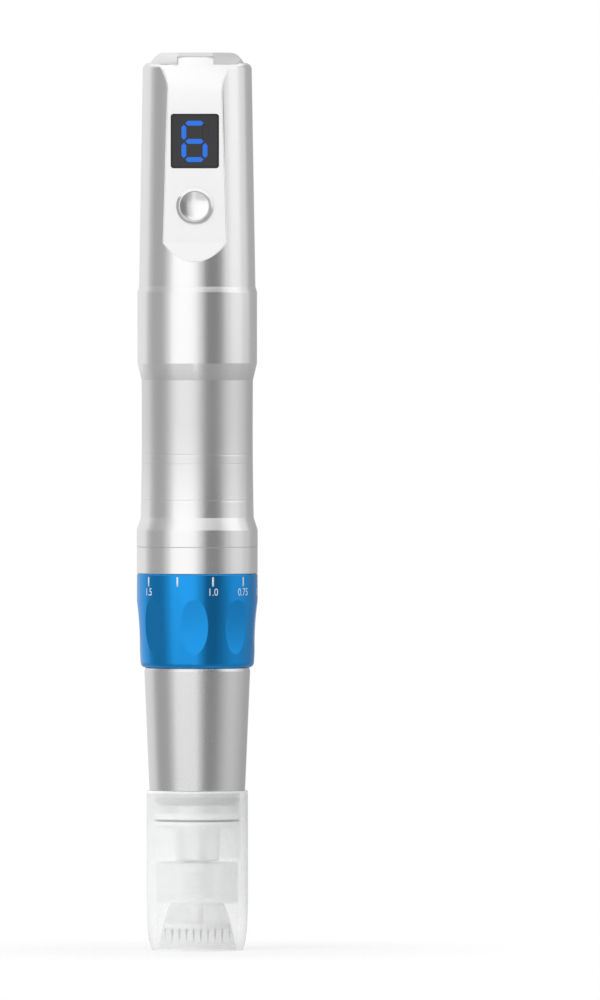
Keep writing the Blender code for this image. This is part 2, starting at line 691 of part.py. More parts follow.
def needle_plate():
    top = NEEDLE_RECESS + NEEDLE_LENGTH + NEEDLE_PLATE
    bottom = NEEDLE_RECESS + NEEDLE_LENGTH
    places = needle_places()
    outline = [(0, bottom), (PLATE_RADIUS, bottom), (PLATE_RADIUS - NEEDLE_MARGIN, top), (0, top)]
    plate = turned("needle_plate", outline, "steel", INNER_FACETS)
    shape = bmesh.new()
    point_top = NEEDLE_RECESS + NEEDLE_POINT_SHARE * NEEDLE_LENGTH
    for place in places:
        sections = []
        for radius, height in (
            (NEEDLE_TIP_SHARE * NEEDLE_RADIUS, NEEDLE_RECESS),
            (NEEDLE_RADIUS, point_top),
            (NEEDLE_RADIUS, bottom + NEEDLE_PLATE / 2),
        ):
            sections.append([(x, y, height) for x, y in round_outline(radius, 4, place)])
        add_loft(shape, sections)
    join(plate, placed("needles_guide", mesh_of("needles_guide", shape), None))


def needle_stem():
    plate_top = NEEDLE_RECESS + NEEDLE_LENGTH + NEEDLE_PLATE
    collar_radius = STEM_HEAD_RADIUS + STEM_COLLAR_OVERHANG
    collar_top = PARTITION_BOTTOM - RUNNING_GAP
    collar_bottom = collar_top - STEM_COLLAR
    outline = [
        (0, plate_top + FIT),
        (STEM_RADIUS, plate_top + FIT),
        (STEM_RADIUS, collar_bottom),
        (collar_radius, collar_bottom),
        (collar_radius, collar_top),
        (STEM_HEAD_RADIUS, collar_top),
        (STEM_HEAD_RADIUS, STEM_TOP - EDGE_BREAK),
        (STEM_HEAD_RADIUS - EDGE_BREAK, STEM_TOP),
        (0, STEM_TOP),
    ]
    turned("needle_stem", outline, "white_plastic", INNER_FACETS)
    points = coil_points(
        NEEDLE_SPRING_RADIUS,
        FLARE_DEPTH + CORE_WEB + FIT + NEEDLE_SPRING_WIRE,
        collar_bottom - FIT - NEEDLE_SPRING_WIRE,
        NEEDLE_SPRING_TURNS,
    )
    drawn_wire("needle_spring", points, NEEDLE_SPRING_WIRE, "steel")


def seal_heights():
    """The middle of each seal ring, the upper one first."""
    upper = NECK_TOP - SEAL_DROP
    return {"upper": upper, "lower": upper - SEAL_PITCH}


def cartridge_seat():
    groove_radius = NECK_RADIUS + SEAL_PROUD - 2 * SEAL_WIRE_RADIUS - FIT
    groove_half = SEAL_WIRE_RADIUS + FIT
    grooves = []
    for height in seal_heights().values():
        grooves += [
            (NECK_RADIUS, height + groove_half),
            (groove_radius, height + groove_half),
            (groove_radius, height - groove_half),
            (NECK_RADIUS, height - groove_half),
        ]
    outline = [
        (BUSH_RADIUS + FIT, CONE_FLOOR_TOP),
        (SPIGOT_RADIUS, CONE_FLOOR_TOP),
        (SPIGOT_RADIUS, NECK_TOP),
        (NECK_RADIUS, NECK_TOP),
        *grooves,
        (NECK_RADIUS, NECK_BOTTOM + EDGE_BREAK),
        (NECK_RADIUS - EDGE_BREAK, NECK_BOTTOM),
        (NOZZLE_TOP_RADIUS, NECK_BOTTOM),
        (NOZZLE_MOUTH_RADIUS, NOZZLE_BOTTOM + EDGE_BREAK),
        (NOZZLE_MOUTH_RADIUS - EDGE_BREAK, NOZZLE_BOTTOM),
        (NOZZLE_BORE_RADIUS, NOZZLE_BOTTOM),
        (NOZZLE_BORE_RADIUS, BUSH_BOTTOM - FIT),
        (BUSH_RADIUS + FIT, BUSH_BOTTOM - FIT),
    ]
    turned("cartridge_seat", outline, "satin_aluminium")


def seal_rings():
    centre = NECK_RADIUS + SEAL_PROUD - SEAL_WIRE_RADIUS
    for name, height in seal_heights().items():
        section = round_outline(SEAL_WIRE_RADIUS, SEAL_SIDES, (centre, height))
        turned(f"{name}_seal_ring", section, "black_rubber", ROUND_FACETS)


def plunger_bush():
    top = CONE_FLOOR_TOP - FIT
    outline = [
        (BUSH_BORE_RADIUS, BUSH_BOTTOM),
        (BUSH_RADIUS, BUSH_BOTTOM),
        (BUSH_RADIUS, top),
        (BUSH_BORE_RADIUS, top),
    ]
    turned("plunger_bush", outline, "bronze", INNER_FACETS)


def front_cone():
    cage_bore = TUBE_BORE_RADIUS
    outline = [
        (SPIGOT_RADIUS + FIT, CONE_BOTTOM),
        (CONE_BOTTOM_RADIUS - EDGE_BREAK, CONE_BOTTOM),
        (CONE_BOTTOM_RADIUS, CONE_BOTTOM + EDGE_BREAK),
        (CONE_TOP_RADIUS, CONE_TOP - EDGE_BREAK),
        (CONE_TOP_RADIUS - EDGE_BREAK, CONE_TOP),
        (CHASSIS_BORE_RADIUS, CONE_TOP),
        (CHASSIS_BORE_RADIUS, TUBE_BOTTOM - FIT),
        (cage_bore, TUBE_BOTTOM - FIT),
        (cage_bore, CONE_FLOOR_TOP),
        (SPIGOT_RADIUS + FIT, CONE_FLOOR_TOP),
    ]
    turned("front_cone", outline, "satin_aluminium")


def inner_tube():
    outline = [
        (TUBE_BORE_RADIUS, TUBE_BOTTOM),
        (TUBE_RADIUS, TUBE_BOTTOM),
        (TUBE_RADIUS, TUBE_TOP),
        (TUBE_BORE_RADIUS, TUBE_TOP),
    ]
    tube = turned("inner_tube", outline, "bright_metal")
    half_width = LUG_WIDTH / 2 + FIT
    low = (-half_width, 0, LUG_Z - LUG_HEIGHT / 2 - DEPTH_TRAVEL - FIT)
    high = (half_width, TUBE_RADIUS + OVERRUN, LUG_Z + LUG_HEIGHT / 2 + FIT)
    cut(tube, block("lug_slot_guide", low, high, None))


def ring_radius(height):
    """Outer radius of the depth ring: straight at the top, then narrowing to its foot."""
    taper_top = RING_TOP - RING_STRAIGHT
    taper_bottom = RING_BOTTOM + RING_CHAMFER
    share = min(max((taper_top - height) / (taper_top - taper_bottom), 0), 1)
    return RING_RADIUS + share * (RING_FOOT_RADIUS - RING_RADIUS)


def scallop_cutter():
    """Thumb scallops: level cuts with a long vertical radius, so that each leaves an oval."""
    middle = RING_BOTTOM + SCALLOP_RISE
    surface = ring_radius(middle)
    depth = surface - math.sqrt(surface**2 - SCALLOP_HALF_WIDTH**2)
    sweep = (SCALLOP_HALF_HEIGHT**2 + depth**2) / (2 * depth)
    lean = (ring_radius(middle + SCALLOP_HALF_HEIGHT) - ring_radius(middle - SCALLOP_HALF_HEIGHT)) / (
        2 * SCALLOP_HALF_HEIGHT
    )
    reach = math.asin(min((SCALLOP_HALF_HEIGHT + OVERRUN) / sweep, 1))
    arc = []
    for i in range(SCALLOP_STEPS + 1):
        angle = reach * (2 * i / SCALLOP_STEPS - 1)
        rise = sweep * math.sin(angle)
        arc.append((surface - depth + sweep * (1 - math.cos(angle)) + lean * rise, middle + rise))
    outer = RING_RADIUS + OVERRUN
    outline = [(outer, arc[0][1])] + arc + [(outer, arc[-1][1])]
    half_width = SCALLOP_HALF_WIDTH + OVERRUN
    shape = bmesh.new()
    for i in range(SCALLOP_COUNT):
        turn = Matrix.Rotation(math.tau * i / SCALLOP_COUNT - math.pi / 2, 3, "Z")
        sections = [[turn @ Vector((radial, side, z)) for radial, z in outline] for side in (-half_width, half_width)]
        add_loft(shape, sections)
    return placed("scallop_guide", mesh_of("scallop_guide", shape), None)


def groove_cutter():
    """The helix inside the ring that the carriage's lug runs in."""
    inner = TUBE_RADIUS - OVERRUN
    outer = TUBE_RADIUS + LUG_PROUD + FIT + CLOSE_FIT
    half_height = LUG_HEIGHT / 2 + FIT
    sweep = DEPTH_TURN + 2 * GROOVE_END_ANGLE
    sections = []
    for i in range(GROOVE_STEPS + 1):
        angle = GROOVE_END_ANGLE - sweep * i / GROOVE_STEPS
        height = LUG_Z + DEPTH_TRAVEL * angle / DEPTH_TURN
        turn = Matrix.Rotation(math.radians(angle) + math.pi / 2, 3, "Z")
        corners = ((inner, -half_height), (outer, -half_height), (outer, half_height), (inner, half_height))
        sections.append([turn @ Vector((radial, 0, height + rise)) for radial, rise in corners])
    shape = bmesh.new()
    add_loft(shape, sections)
    bmesh.ops.triangulate(shape, faces=shape.faces)
    return placed("groove_guide", mesh_of("groove_guide", shape), None)


def depth_ring():
    bore = TUBE_RADIUS + FIT
    outline = [
        (bore, RING_BOTTOM),
        (RING_FOOT_RADIUS - RING_CHAMFER, RING_BOTTOM),
        (RING_FOOT_RADIUS, RING_BOTTOM + RING_CHAMFER),
        (RING_RADIUS, RING_TOP - RING_STRAIGHT),
        (RING_RADIUS, RING_TOP - EDGE_BREAK),
        (RING_RADIUS - EDGE_BREAK, RING_TOP),
        (bore, RING_TOP),
    ]
    ring = turned("depth_ring", outline, "blue_anodised")
    cut(ring, scallop_cutter())
    cut(ring, groove_cutter())


def index_collar():
    outline = [
        (CHASSIS_BORE_RADIUS, COLLAR_BOTTOM),
        (COLLAR_RADIUS, COLLAR_BOTTOM),
        (COLLAR_RADIUS, COLLAR_TOP - EDGE_BREAK),
        (COLLAR_RADIUS - EDGE_BREAK, COLLAR_TOP),
        (CHASSIS_BORE_RADIUS, COLLAR_TOP),
    ]
    turned("index_collar", outline, "satin_aluminium")


def motor_carriage():
    cup = MOTOR_RADIUS + FIT
    floor = CARRIAGE_BOTTOM + CARRIAGE_FLOOR
    outline = [
        (CARRIAGE_HOLE_RADIUS, CARRIAGE_BOTTOM),
        (CARRIAGE_RADIUS, CARRIAGE_BOTTOM),
        (CARRIAGE_RADIUS, CARRIAGE_TOP),
        (cup, CARRIAGE_TOP),
        (cup, floor),
        (CARRIAGE_HOLE_RADIUS, floor),
    ]
    carriage = turned("motor_carriage", outline, "white_plastic", INNER_FACETS)
    low = (-LUG_WIDTH / 2, cup + CARRIAGE_WALL / 2, LUG_Z - LUG_HEIGHT / 2)
    high = (LUG_WIDTH / 2, TUBE_RADIUS + LUG_PROUD, LUG_Z + LUG_HEIGHT / 2)
    join(carriage, block("lug_guide", low, high, None))


def plunger_cage():
    hole = PLUNGER_ROD_RADIUS + RUNNING_GAP
    outline = [
        (hole, CAGE_BOTTOM),
        (CARRIAGE_RADIUS, CAGE_BOTTOM),
        (CARRIAGE_RADIUS, CAGE_TOP),
        (CAGE_BORE_RADIUS, CAGE_TOP),
        (CAGE_BORE_RADIUS, CAGE_FLOOR_TOP),
        (hole, CAGE_FLOOR_TOP),
    ]
    cage = turned("plunger_cage", outline, "white_plastic", INNER_FACETS)
    half_width = KEY_WIDTH / 2 + FIT
    low = (-CARRIAGE_RADIUS - OVERRUN, -half_width, CAGE_FLOOR_TOP)
    high = (-CAGE_BORE_RADIUS / 2, half_width, CAGE_TOP - CAGE_FLOOR)
    cut(cage, block("key_slot_guide", low, high, None))


def motor():
    inner = MOTOR_RADIUS - MOTOR_WALL
    hole = SHAFT_RADIUS + FIT
    floor = MOTOR_BOTTOM + MOTOR_END
    cap_bottom = MOTOR_TOP - MOTOR_END
    can = [
        (hole, MOTOR_BOTTOM),
        (MOTOR_RADIUS, MOTOR_BOTTOM),
        (MOTOR_RADIUS, cap_bottom - SEAM),
        (inner, cap_bottom - SEAM),
        (inner, floor),
        (hole, floor),
    ]
    turned("motor_can", can, "steel", INNER_FACETS)
    cap = [(hole, cap_bottom), (MOTOR_RADIUS, cap_bottom), (MOTOR_RADIUS, MOTOR_TOP), (hole, MOTOR_TOP)]
    turned("motor_end_cap", cap, "black_plastic", INNER_FACETS)
    armature = inner - ARMATURE_GAP
    rotor = [
        (0, CAM_TOP - SHAFT_DEPTH_IN_CAM),
        (SHAFT_RADIUS, CAM_TOP - SHAFT_DEPTH_IN_CAM),
        (SHAFT_RADIUS, floor + ARMATURE_GAP),
        (armature, floor + ARMATURE_GAP),
        (armature, cap_bottom - ARMATURE_GAP),
        (SHAFT_RADIUS, cap_bottom - ARMATURE_GAP),
        (SHAFT_RADIUS, MOTOR_TOP + SHAFT_TAIL),
        (0, MOTOR_TOP + SHAFT_TAIL),
    ]
    turned("motor_rotor", rotor, "bronze", INNER_FACETS)


def drive_cam():
    """A disc on the motor shaft whose slanted underside would push the follower ball down once a turn."""
    circle = round_outline(CAM_RADIUS, INNER_FACETS)
    slanted = [(x, y, CAM_MIDDLE + CAM_SLOPE * x) for x, y in circle]
    level = [(x, y, CAM_TOP) for x, y in circle]
    cam = lofted("drive_cam", [slanted, level], "black_plastic")
    hole = round_outline(SHAFT_RADIUS + FIT, FINE_FACETS)
    bottom = CAM_TOP - SHAFT_DEPTH_IN_CAM - FIT
    cut(cam, lofted("cam_hole_guide", upright_prism(hole, bottom, CAM_TOP + OVERRUN), None))


def plunger():
    outline = [
        (0, ROD_BOTTOM),
        (PLUNGER_ROD_RADIUS, ROD_BOTTOM),
        (PLUNGER_ROD_RADIUS, DISC_BOTTOM),
        (DISC_RADIUS, DISC_BOTTOM),
        (DISC_RADIUS, BALL_Z),
        (0, BALL_Z),
    ]
    piece = turned("plunger", outline, "steel", INNER_FACETS)
    low = (-CAGE_BORE_RADIUS - KEY_REACH, -KEY_WIDTH / 2, DISC_BOTTOM)
    high = (-DISC_RADIUS / 2, KEY_WIDTH / 2, DISC_BOTTOM + PLUNGER_DISC / 2)
    join(piece, block("key_guide", low, high, None))
    place = (FOLLOWER_OFFSET, 0)
    pocket = round_outline(FOLLOWER_BALL_RADIUS + CLOSE_FIT, FINE_FACETS, place)
    bottom = BALL_Z - FOLLOWER_BALL_RADIUS - CLOSE_FIT
    cut(piece, lofted("ball_pocket_guide", upright_prism(pocket, bottom, BALL_Z + OVERRUN), None))
    half_turn = [math.pi * (i / (FINE_FACETS / 2) - 0.5) for i in range(FINE_FACETS // 2 + 1)]
    ball = [(FOLLOWER_BALL_RADIUS * math.cos(a), FOLLOWER_BALL_RADIUS * math.sin(a)) for a in half_turn]
    ball[0] = (0, ball[0][1])
    ball[-1] = (0, ball[-1][1])
    follower = turned("follower_ball", ball, "bright_metal", FINE_FACETS)
    follower.location = (FOLLOWER_OFFSET, 0, BALL_Z)
    tip = [
        (0, TIP_BOTTOM),
        (TIP_RADIUS - EDGE_BREAK, TIP_BOTTOM),
        (TIP_RADIUS, TIP_BOTTOM + EDGE_BREAK),
        (TIP_RADIUS, TIP_BOTTOM + TIP_LENGTH),
        (0, TIP_BOTTOM + TIP_LENGTH),
    ]
    turned("plunger_tip", tip, "black_plastic", INNER_FACETS)
    points = coil_points(
        PLUNGER_SPRING_RADIUS,
        CAGE_FLOOR_TOP + FIT + PLUNGER_SPRING_WIRE,
        DISC_BOTTOM - FIT - PLUNGER_SPRING_WIRE,
        PLUNGER_SPRING_TURNS,
    )
    drawn_wire("plunger_spring", points, PLUNGER_SPRING_WIRE, "steel")


def main_body():
    waist_bottom = BODY_BOTTOM + BODY_LIP + BODY_FLARE
    waist_top = waist_bottom + WAIST_LENGTH
    grip_bottom = waist_top + BODY_TAPER
    waist = []
    for i in range(WAIST_STEPS + 1):
        share = i / WAIST_STEPS
        radius = WAIST_RADIUS + WAIST_FOOT_EXTRA * (1 - share) ** 2 - WAIST_HOLLOW * math.sin(math.pi * share)
        waist.append((radius, waist_bottom + share * WAIST_LENGTH))
    outline = [
        (CHASSIS_BORE_RADIUS, BODY_BOTTOM),
        (BODY_RADIUS - EDGE_BREAK, BODY_BOTTOM),
        (BODY_RADIUS, BODY_BOTTOM + EDGE_BREAK),
        (BODY_RADIUS, BODY_BOTTOM + BODY_LIP),
        *waist,
        (GRIP_RADIUS, grip_bottom),
        (GRIP_RADIUS, grip_bottom + GRIP_LENGTH),
        (SLEEVE_BOTTOM_RADIUS, BODY_TOP),
        (CHASSIS_BORE_RADIUS, BODY_TOP),
    ]
    turned("main_body", outline, "satin_aluminium")


def battery():
    """The cell and the two cups that seat it in the body's bore."""
    lower = TUBE_TOP + SEAM
    upper = BODY_TOP - COUPLER_DROP - SEAM
    outer = CHASSIS_BORE_RADIUS - FIT
    inner = BATTERY_RADIUS + FIT
    for name, face, way in (("lower_battery_cup", lower, 1), ("upper_battery_cup", upper, -1)):
        floor = face + way * HOLDER_FLOOR
        rim = floor + way * HOLDER_RIM
        outline = [(HOLDER_HOLE_RADIUS, face), (outer, face), (outer, rim), (inner, rim), (inner, floor)]
        turned(name, outline + [(HOLDER_HOLE_RADIUS, floor)], "white_plastic", INNER_FACETS)
    bottom = lower + HOLDER_FLOOR + FIT
    top = upper - HOLDER_FLOOR - FIT
    cell = [
        (0, bottom),
        (BATTERY_RADIUS, bottom),
        (BATTERY_RADIUS, top),
        (BATTERY_STUD_RADIUS, top),
        (BATTERY_STUD_RADIUS, top + HOLDER_FLOOR / 2),
        (0, top + HOLDER_FLOOR / 2),
    ]
    turned("battery_cell", cell, "cell_wrap", INNER_FACETS)


def coupler_ring():
    lower = CHASSIS_BORE_RADIUS - FIT
    upper = SLEEVE_BORE_RADIUS - FIT
    inner = upper - COUPLER_WALL
    bottom = BODY_TOP - COUPLER_DROP
    top = SLEEVE_BOTTOM + COUPLER_RISE
    outline = [(inner, bottom), (lower, bottom), (lower, BODY_TOP), (upper, BODY_TOP), (upper, top), (inner, top)]
    turned("coupler_ring", outline, "bright_metal")


def rear_sleeve():
    outline = [
        (SLEEVE_BORE_RADIUS, SLEEVE_BOTTOM),
        (SLEEVE_BOTTOM_RADIUS, SLEEVE_BOTTOM),
        (sleeve_radius(SLEEVE_TOP - EDGE_BREAK), SLEEVE_TOP - EDGE_BREAK),
        (SLEEVE_TOP_RADIUS - EDGE_BREAK, SLEEVE_TOP),
        (SLEEVE_BORE_RADIUS, SLEEVE_TOP),
    ]
    sleeve = turned("rear_sleeve", outline, "satin_aluminium")
    cut(sleeve, sleeve_flat_cutter())
    cut(sleeve, pocket_cutter("sleeve_pocket_guide", SLEEVE_TOP + OVERRUN))


def front_panel():
    sections = front_sections(panel_half_width, 0, PANEL_THICKNESS, panel_heights())
    panel = lofted("front_panel", sections, "pearl_white")
    window = rounded_rectangle(window_half_width(), WINDOW_HEIGHT / 2, WINDOW_CORNER)
    through = upright_prism(window, -PANEL_THICKNESS - OVERRUN, OVERRUN)
    cut(panel, face_panel(lofted("window_guide", through, None), DISPLAY_Z))
    bore = round_outline(BUTTON_RADIUS + FIT + BEZEL_SKIRT + FIT, ROUND_FACETS)
    through = upright_prism(bore, -PANEL_THICKNESS - OVERRUN, OVERRUN)
    cut(panel, face_panel(lofted("button_hole_guide", through, None), BUTTON_Z))
    boss = round_outline(BOSS_RADIUS, FINE_FACETS)
    hole = round_outline(SCREW_RADIUS + CLOSE_FIT, FINE_FACETS)
    boss_end = -BOARD_FRONT + FIT
    for place, height in SCREW_HEIGHTS.items():
        body = upright_prism(boss, boss_end, -PANEL_THICKNESS / 2)
        join(panel, face_panel(lofted(f"{place}_boss_guide", body, None), height))
        drill = upright_prism(hole, boss_end - OVERRUN, -PANEL_THICKNESS / 2)
        cut(panel, face_panel(lofted(f"{place}_boss_hole_guide", drill, None), height))


def top_cap():
    plug = SLEEVE_BORE_RADIUS - FIT
    inner = plug - CAP_PLUG_WALL
    bottom = SLEEVE_TOP - CAP_PLUG_DEPTH
    crown = CAP_TOP - CAP_CROWN
    outline = [(0, crown), (inner, crown), (inner, bottom), (plug, bottom), (plug, CAP_BOTTOM)]
    outline += dome_outline() + [(0, CAP_TOP)]
    cap = turned("top_cap", outline, "pearl_white")
    cut(cap, cap_front_cutter())
    cut(cap, pocket_cutter("cap_pocket_guide", PANEL_TOP + SEAM))
    opening = stadium_outline(SOCKET_WIDTH + 2 * FIT, SOCKET_HEIGHT + 2 * FIT, SOCKET_OFFSET)
    cut(cap, lofted("socket_opening_guide", upright_prism(opening, bottom, CAP_TOP + OVERRUN), None))


def charge_socket():
    top = CAP_TOP - SOCKET_SETBACK
    bottom = top - SOCKET_DEPTH
    outer = stadium_outline(SOCKET_WIDTH, SOCKET_HEIGHT, SOCKET_OFFSET)
    shell = lofted("charge_socket", upright_prism(outer, bottom, top), "bright_metal")
    floor = bottom + 2 * SOCKET_WALL
    inner = stadium_outline(SOCKET_WIDTH - 2 * SOCKET_WALL, SOCKET_HEIGHT - 2 * SOCKET_WALL, SOCKET_OFFSET)
    cut(shell, lofted("socket_cavity_guide", upright_prism(inner, floor, top + OVERRUN), None))
    low = (-TONGUE_WIDTH / 2, SOCKET_OFFSET - TONGUE_HEIGHT / 2, floor + FIT)
    high = (TONGUE_WIDTH / 2, SOCKET_OFFSET + TONGUE_HEIGHT / 2, floor + FIT + TONGUE_LENGTH)
    block("charge_tongue", low, high, "black_plastic")
    board_top = bottom - FIT
    front = -FLAT_DISTANCE + PANEL_THICKNESS + 2 * FIT
    edge = [(x, max(y, front)) for x, y in round_outline(SLEEVE_BORE_RADIUS - 2 * FIT, INNER_FACETS)]
    lofted("charge_board", upright_prism(edge, board_top - CHARGE_BOARD, board_top), "board_green")


def segment_outline(centre, length, upright, grow=0.0):
    """One bar of the digit: pointed at both ends."""
    half = length / 2 - SEGMENT_END_GAP + grow * math.sqrt(2)
    side = SEGMENT_WIDTH / 2 + grow
    bar = [(-half, 0), (-half + side, -side), (half - side, -side), (half, 0), (half - side, side), (-half + side, side)]
    if upright:
        bar = [(-y, x) for x, y in bar]
    return [(centre[0] + x, centre[1] + y) for x, y in bar]


def segments():
    """Centre, length and direction of the seven bars. The digit shown is a 6, so one stays dark."""
    lit = [((0, row * DIGIT_ROW), 2 * DIGIT_HALF_WIDTH, False) for row in (1, 0, -1)]
    for side, row in ((-1, 1), (-1, -1), (1, -1)):
        lit.append(((side * DIGIT_HALF_WIDTH, row * DIGIT_ROW / 2), DIGIT_ROW, True))
    dark = ((DIGIT_HALF_WIDTH, DIGIT_ROW / 2), DIGIT_ROW, True)
    return lit, dark


def display():
    lit, dark = segments()
    half_width = window_half_width() - CLOSE_FIT
    half_height = WINDOW_HEIGHT / 2 - CLOSE_FIT
    outline = rounded_rectangle(half_width, half_height, WINDOW_CORNER - CLOSE_FIT)
    lens = lofted("display_lens", upright_prism(outline, -LENS_BACK, -LENS_SETBACK), "display_dark")
    face_panel(lens, DISPLAY_Z)
    shape = bmesh.new()
    for centre, length, upright in lit + [dark]:
        slot = segment_outline(centre, length, upright, SEGMENT_FIT)
        add_loft(shape, upright_prism(slot, -LENS_BACK - OVERRUN, OVERRUN))
    cut(lens, face_panel(placed("segment_slots_guide", mesh_of("segment_slots", shape), None), DISPLAY_Z))

    plate_x = DIGIT_HALF_WIDTH + SEGMENT_WIDTH / 2 + GUIDE_MARGIN
    plate_y = DIGIT_ROW + SEGMENT_WIDTH / 2 + GUIDE_MARGIN
    guide = block(
        "digit_light_guide",
        (-plate_x, -plate_y, -GUIDE_BACK),
        (plate_x, plate_y, -GUIDE_FRONT),
        "display_blue",
    )
    face_panel(guide, DISPLAY_Z)
    shape = bmesh.new()
    for centre, length, upright in lit:
        bar = segment_outline(centre, length, upright)
        add_loft(shape, upright_prism(bar, -GUIDE_BACK + GUIDE_THICKNESS / 2, -LENS_SETBACK))
    join(guide, face_panel(placed("lit_bars_guide", mesh_of("lit_bars", shape), None), DISPLAY_Z))
    bar = segment_outline(*dark)
    face_panel(lofted("unlit_segment", upright_prism(bar, -LENS_BACK, -LENS_SETBACK), "display_dark"), DISPLAY_Z)

    module_x = window_half_width() - MODULE_MARGIN
    module_y = WINDOW_HEIGHT / 2 - MODULE_MARGIN
    low = (-module_x, -module_y, -BOARD_FRONT + FIT)
    module = block("display_module", low, (module_x, module_y, -GUIDE_BACK - CLOSE_FIT), "white_plastic")
    face_panel(module, DISPLAY_Z)


def button():
    bore = BUTTON_RADIUS + FIT
    skirt = bore + BEZEL_SKIRT
    skirt_end = -PANEL_THICKNESS + BEZEL_SKIRT
    lip = BEZEL_PROUD - BEZEL_LIP
    bezel = [
        (bore, skirt_end),
        (skirt, skirt_end),
        (skirt, lip),
        (BEZEL_RADIUS, lip),
        (BEZEL_RADIUS, BEZEL_PROUD - BEZEL_LIP / 2),
        ((BEZEL_RADIUS + skirt) / 2, BEZEL_PROUD),
        (bore, BEZEL_PROUD - BEZEL_LIP / 2),
    ]
    face_panel(turned("button_bezel", bezel, "bright_metal"), BUTTON_Z)
    flange = BUTTON_RADIUS + BUTTON_FLANGE_REACH
    flange_front = -PANEL_THICKNESS
    cap = [
        (0, -BUTTON_BACK - BUTTON_STEM),
        (BUTTON_STEM_RADIUS, -BUTTON_BACK - BUTTON_STEM),
        (BUTTON_STEM_RADIUS, -BUTTON_BACK),
        (flange, -BUTTON_BACK),
        (flange, flange_front),
        (BUTTON_RADIUS, flange_front),
        (BUTTON_RADIUS, BUTTON_PROUD - EDGE_BREAK),
        (BUTTON_RADIUS - EDGE_BREAK, BUTTON_PROUD),
        *[(wide * BUTTON_RADIUS, BUTTON_PROUD - deep * BUTTON_DISH) for wide, deep in BUTTON_DISH_SHARES],
        (0, BUTTON_PROUD - BUTTON_DISH),
    ]
    face_panel(turned("power_button", cap, "bright_metal", ROUND_FACETS), BUTTON_Z)


def tact_switch():
    back = -BOARD_FRONT + FIT
    half = SWITCH_HALF_WIDTH
    low = (-half, -half, back)
    switch = block("tact_switch", low, (half, half, back + SWITCH_BODY), "black_plastic")
    face_panel(switch, BUTTON_Z)
    actuator = round_outline(SWITCH_ACTUATOR_RADIUS, FINE_FACETS)
    column = upright_prism(actuator, back + SWITCH_BODY / 2, back + SWITCH_BODY + SWITCH_ACTUATOR)
    join(switch, face_panel(lofted("actuator_guide", column, None), BUTTON_Z))


def control_board():
    near = -FLAT_DISTANCE + BOARD_FRONT
    low = (-BOARD_HALF_WIDTH, near, BOARD_BOTTOM)
    board = block("control_board", low, (BOARD_HALF_WIDTH, near + BOARD_THICKNESS, BOARD_TOP), "board_green")
    hole = round_outline(SCREW_RADIUS + CLOSE_FIT, FINE_FACETS)
    back = BOARD_FRONT + BOARD_THICKNESS
    head = [
        (0, -back - FIT - SCREW_HEAD),
        (SCREW_HEAD_RADIUS, -back - FIT - SCREW_HEAD),
        (SCREW_HEAD_RADIUS, -back - FIT),
        (SCREW_RADIUS, -back - FIT),
        (SCREW_RADIUS, -PANEL_THICKNESS),
        (0, -PANEL_THICKNESS),
    ]
    for place, height in SCREW_HEIGHTS.items():
        drill = upright_prism(hole, -back - OVERRUN, -BOARD_FRONT + OVERRUN)
        cut(board, face_panel(lofted(f"{place}_board_hole_guide", drill, None), height))
        face_panel(turned(f"{place}_board_screw", head, "steel", FINE_FACETS), height)


def battery_leads():
    """Two wires from the battery's upper cup to the back of the circuit board."""
    start = BODY_TOP - COUPLER_DROP - SEAM + FIT
    back = -FLAT_DISTANCE + BOARD_FRONT + BOARD_THICKNESS + FIT + LEAD_RADIUS
    end = BOARD_BOTTOM + BOSS_INSET
    for name, side, material in (("red_battery_lead", -1, "lead_red"), ("black_battery_lead", 1, "black_plastic")):
        spread = side * (LEAD_SPREAD + SCREW_HEAD_RADIUS / 2)
        points = [(spread, 0, start)]
        low, high = LEAD_BEND_SHARES
        for i in range(LEAD_STEPS + 1):
            share = i / LEAD_STEPS
            ease = share * share * (3 - 2 * share)
            rise = low + (high - low) * share
            points.append((spread, back * ease, start + (end - start) * rise))
        points.append((spread, back, end))
        drawn_wire(name, points, LEAD_RADIUS, material)


def build_pen():
    for leftover in list(bpy.data.objects):
        bpy.data.objects.remove(leftover)
    make_materials()
    cartridge_shell()
    cartridge_core()
    needle_plate()
    needle_stem()
    cartridge_seat()
    seal_rings()
    plunger_bush()
    front_cone()
    inner_tube()
    depth_ring()
    index_collar()
    motor_carriage()
    plunger_cage()
    motor()
    drive_cam()
    plunger()
    main_body()
    battery()
    coupler_ring()
    rear_sleeve()
    front_panel()
    top_cap()
    charge_socket()
    display()
    button()
    tact_switch()
    control_board()
    battery_leads()


build_pen()
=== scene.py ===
# %% [markdown]
# A microneedling pen stands upright on its clear needle cartridge.
# The real pen is a stack of turned aluminium sleeves with a white front panel, a small display, a dished
# button, a blue depth ring and a plastic cartridge that pulls off.
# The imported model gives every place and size. Each outer piece is modelled again here with finer facets,
# rounded edges and its real finish, and it rides on the same body as the solid that it stands for.

# %% Load the frame
import math

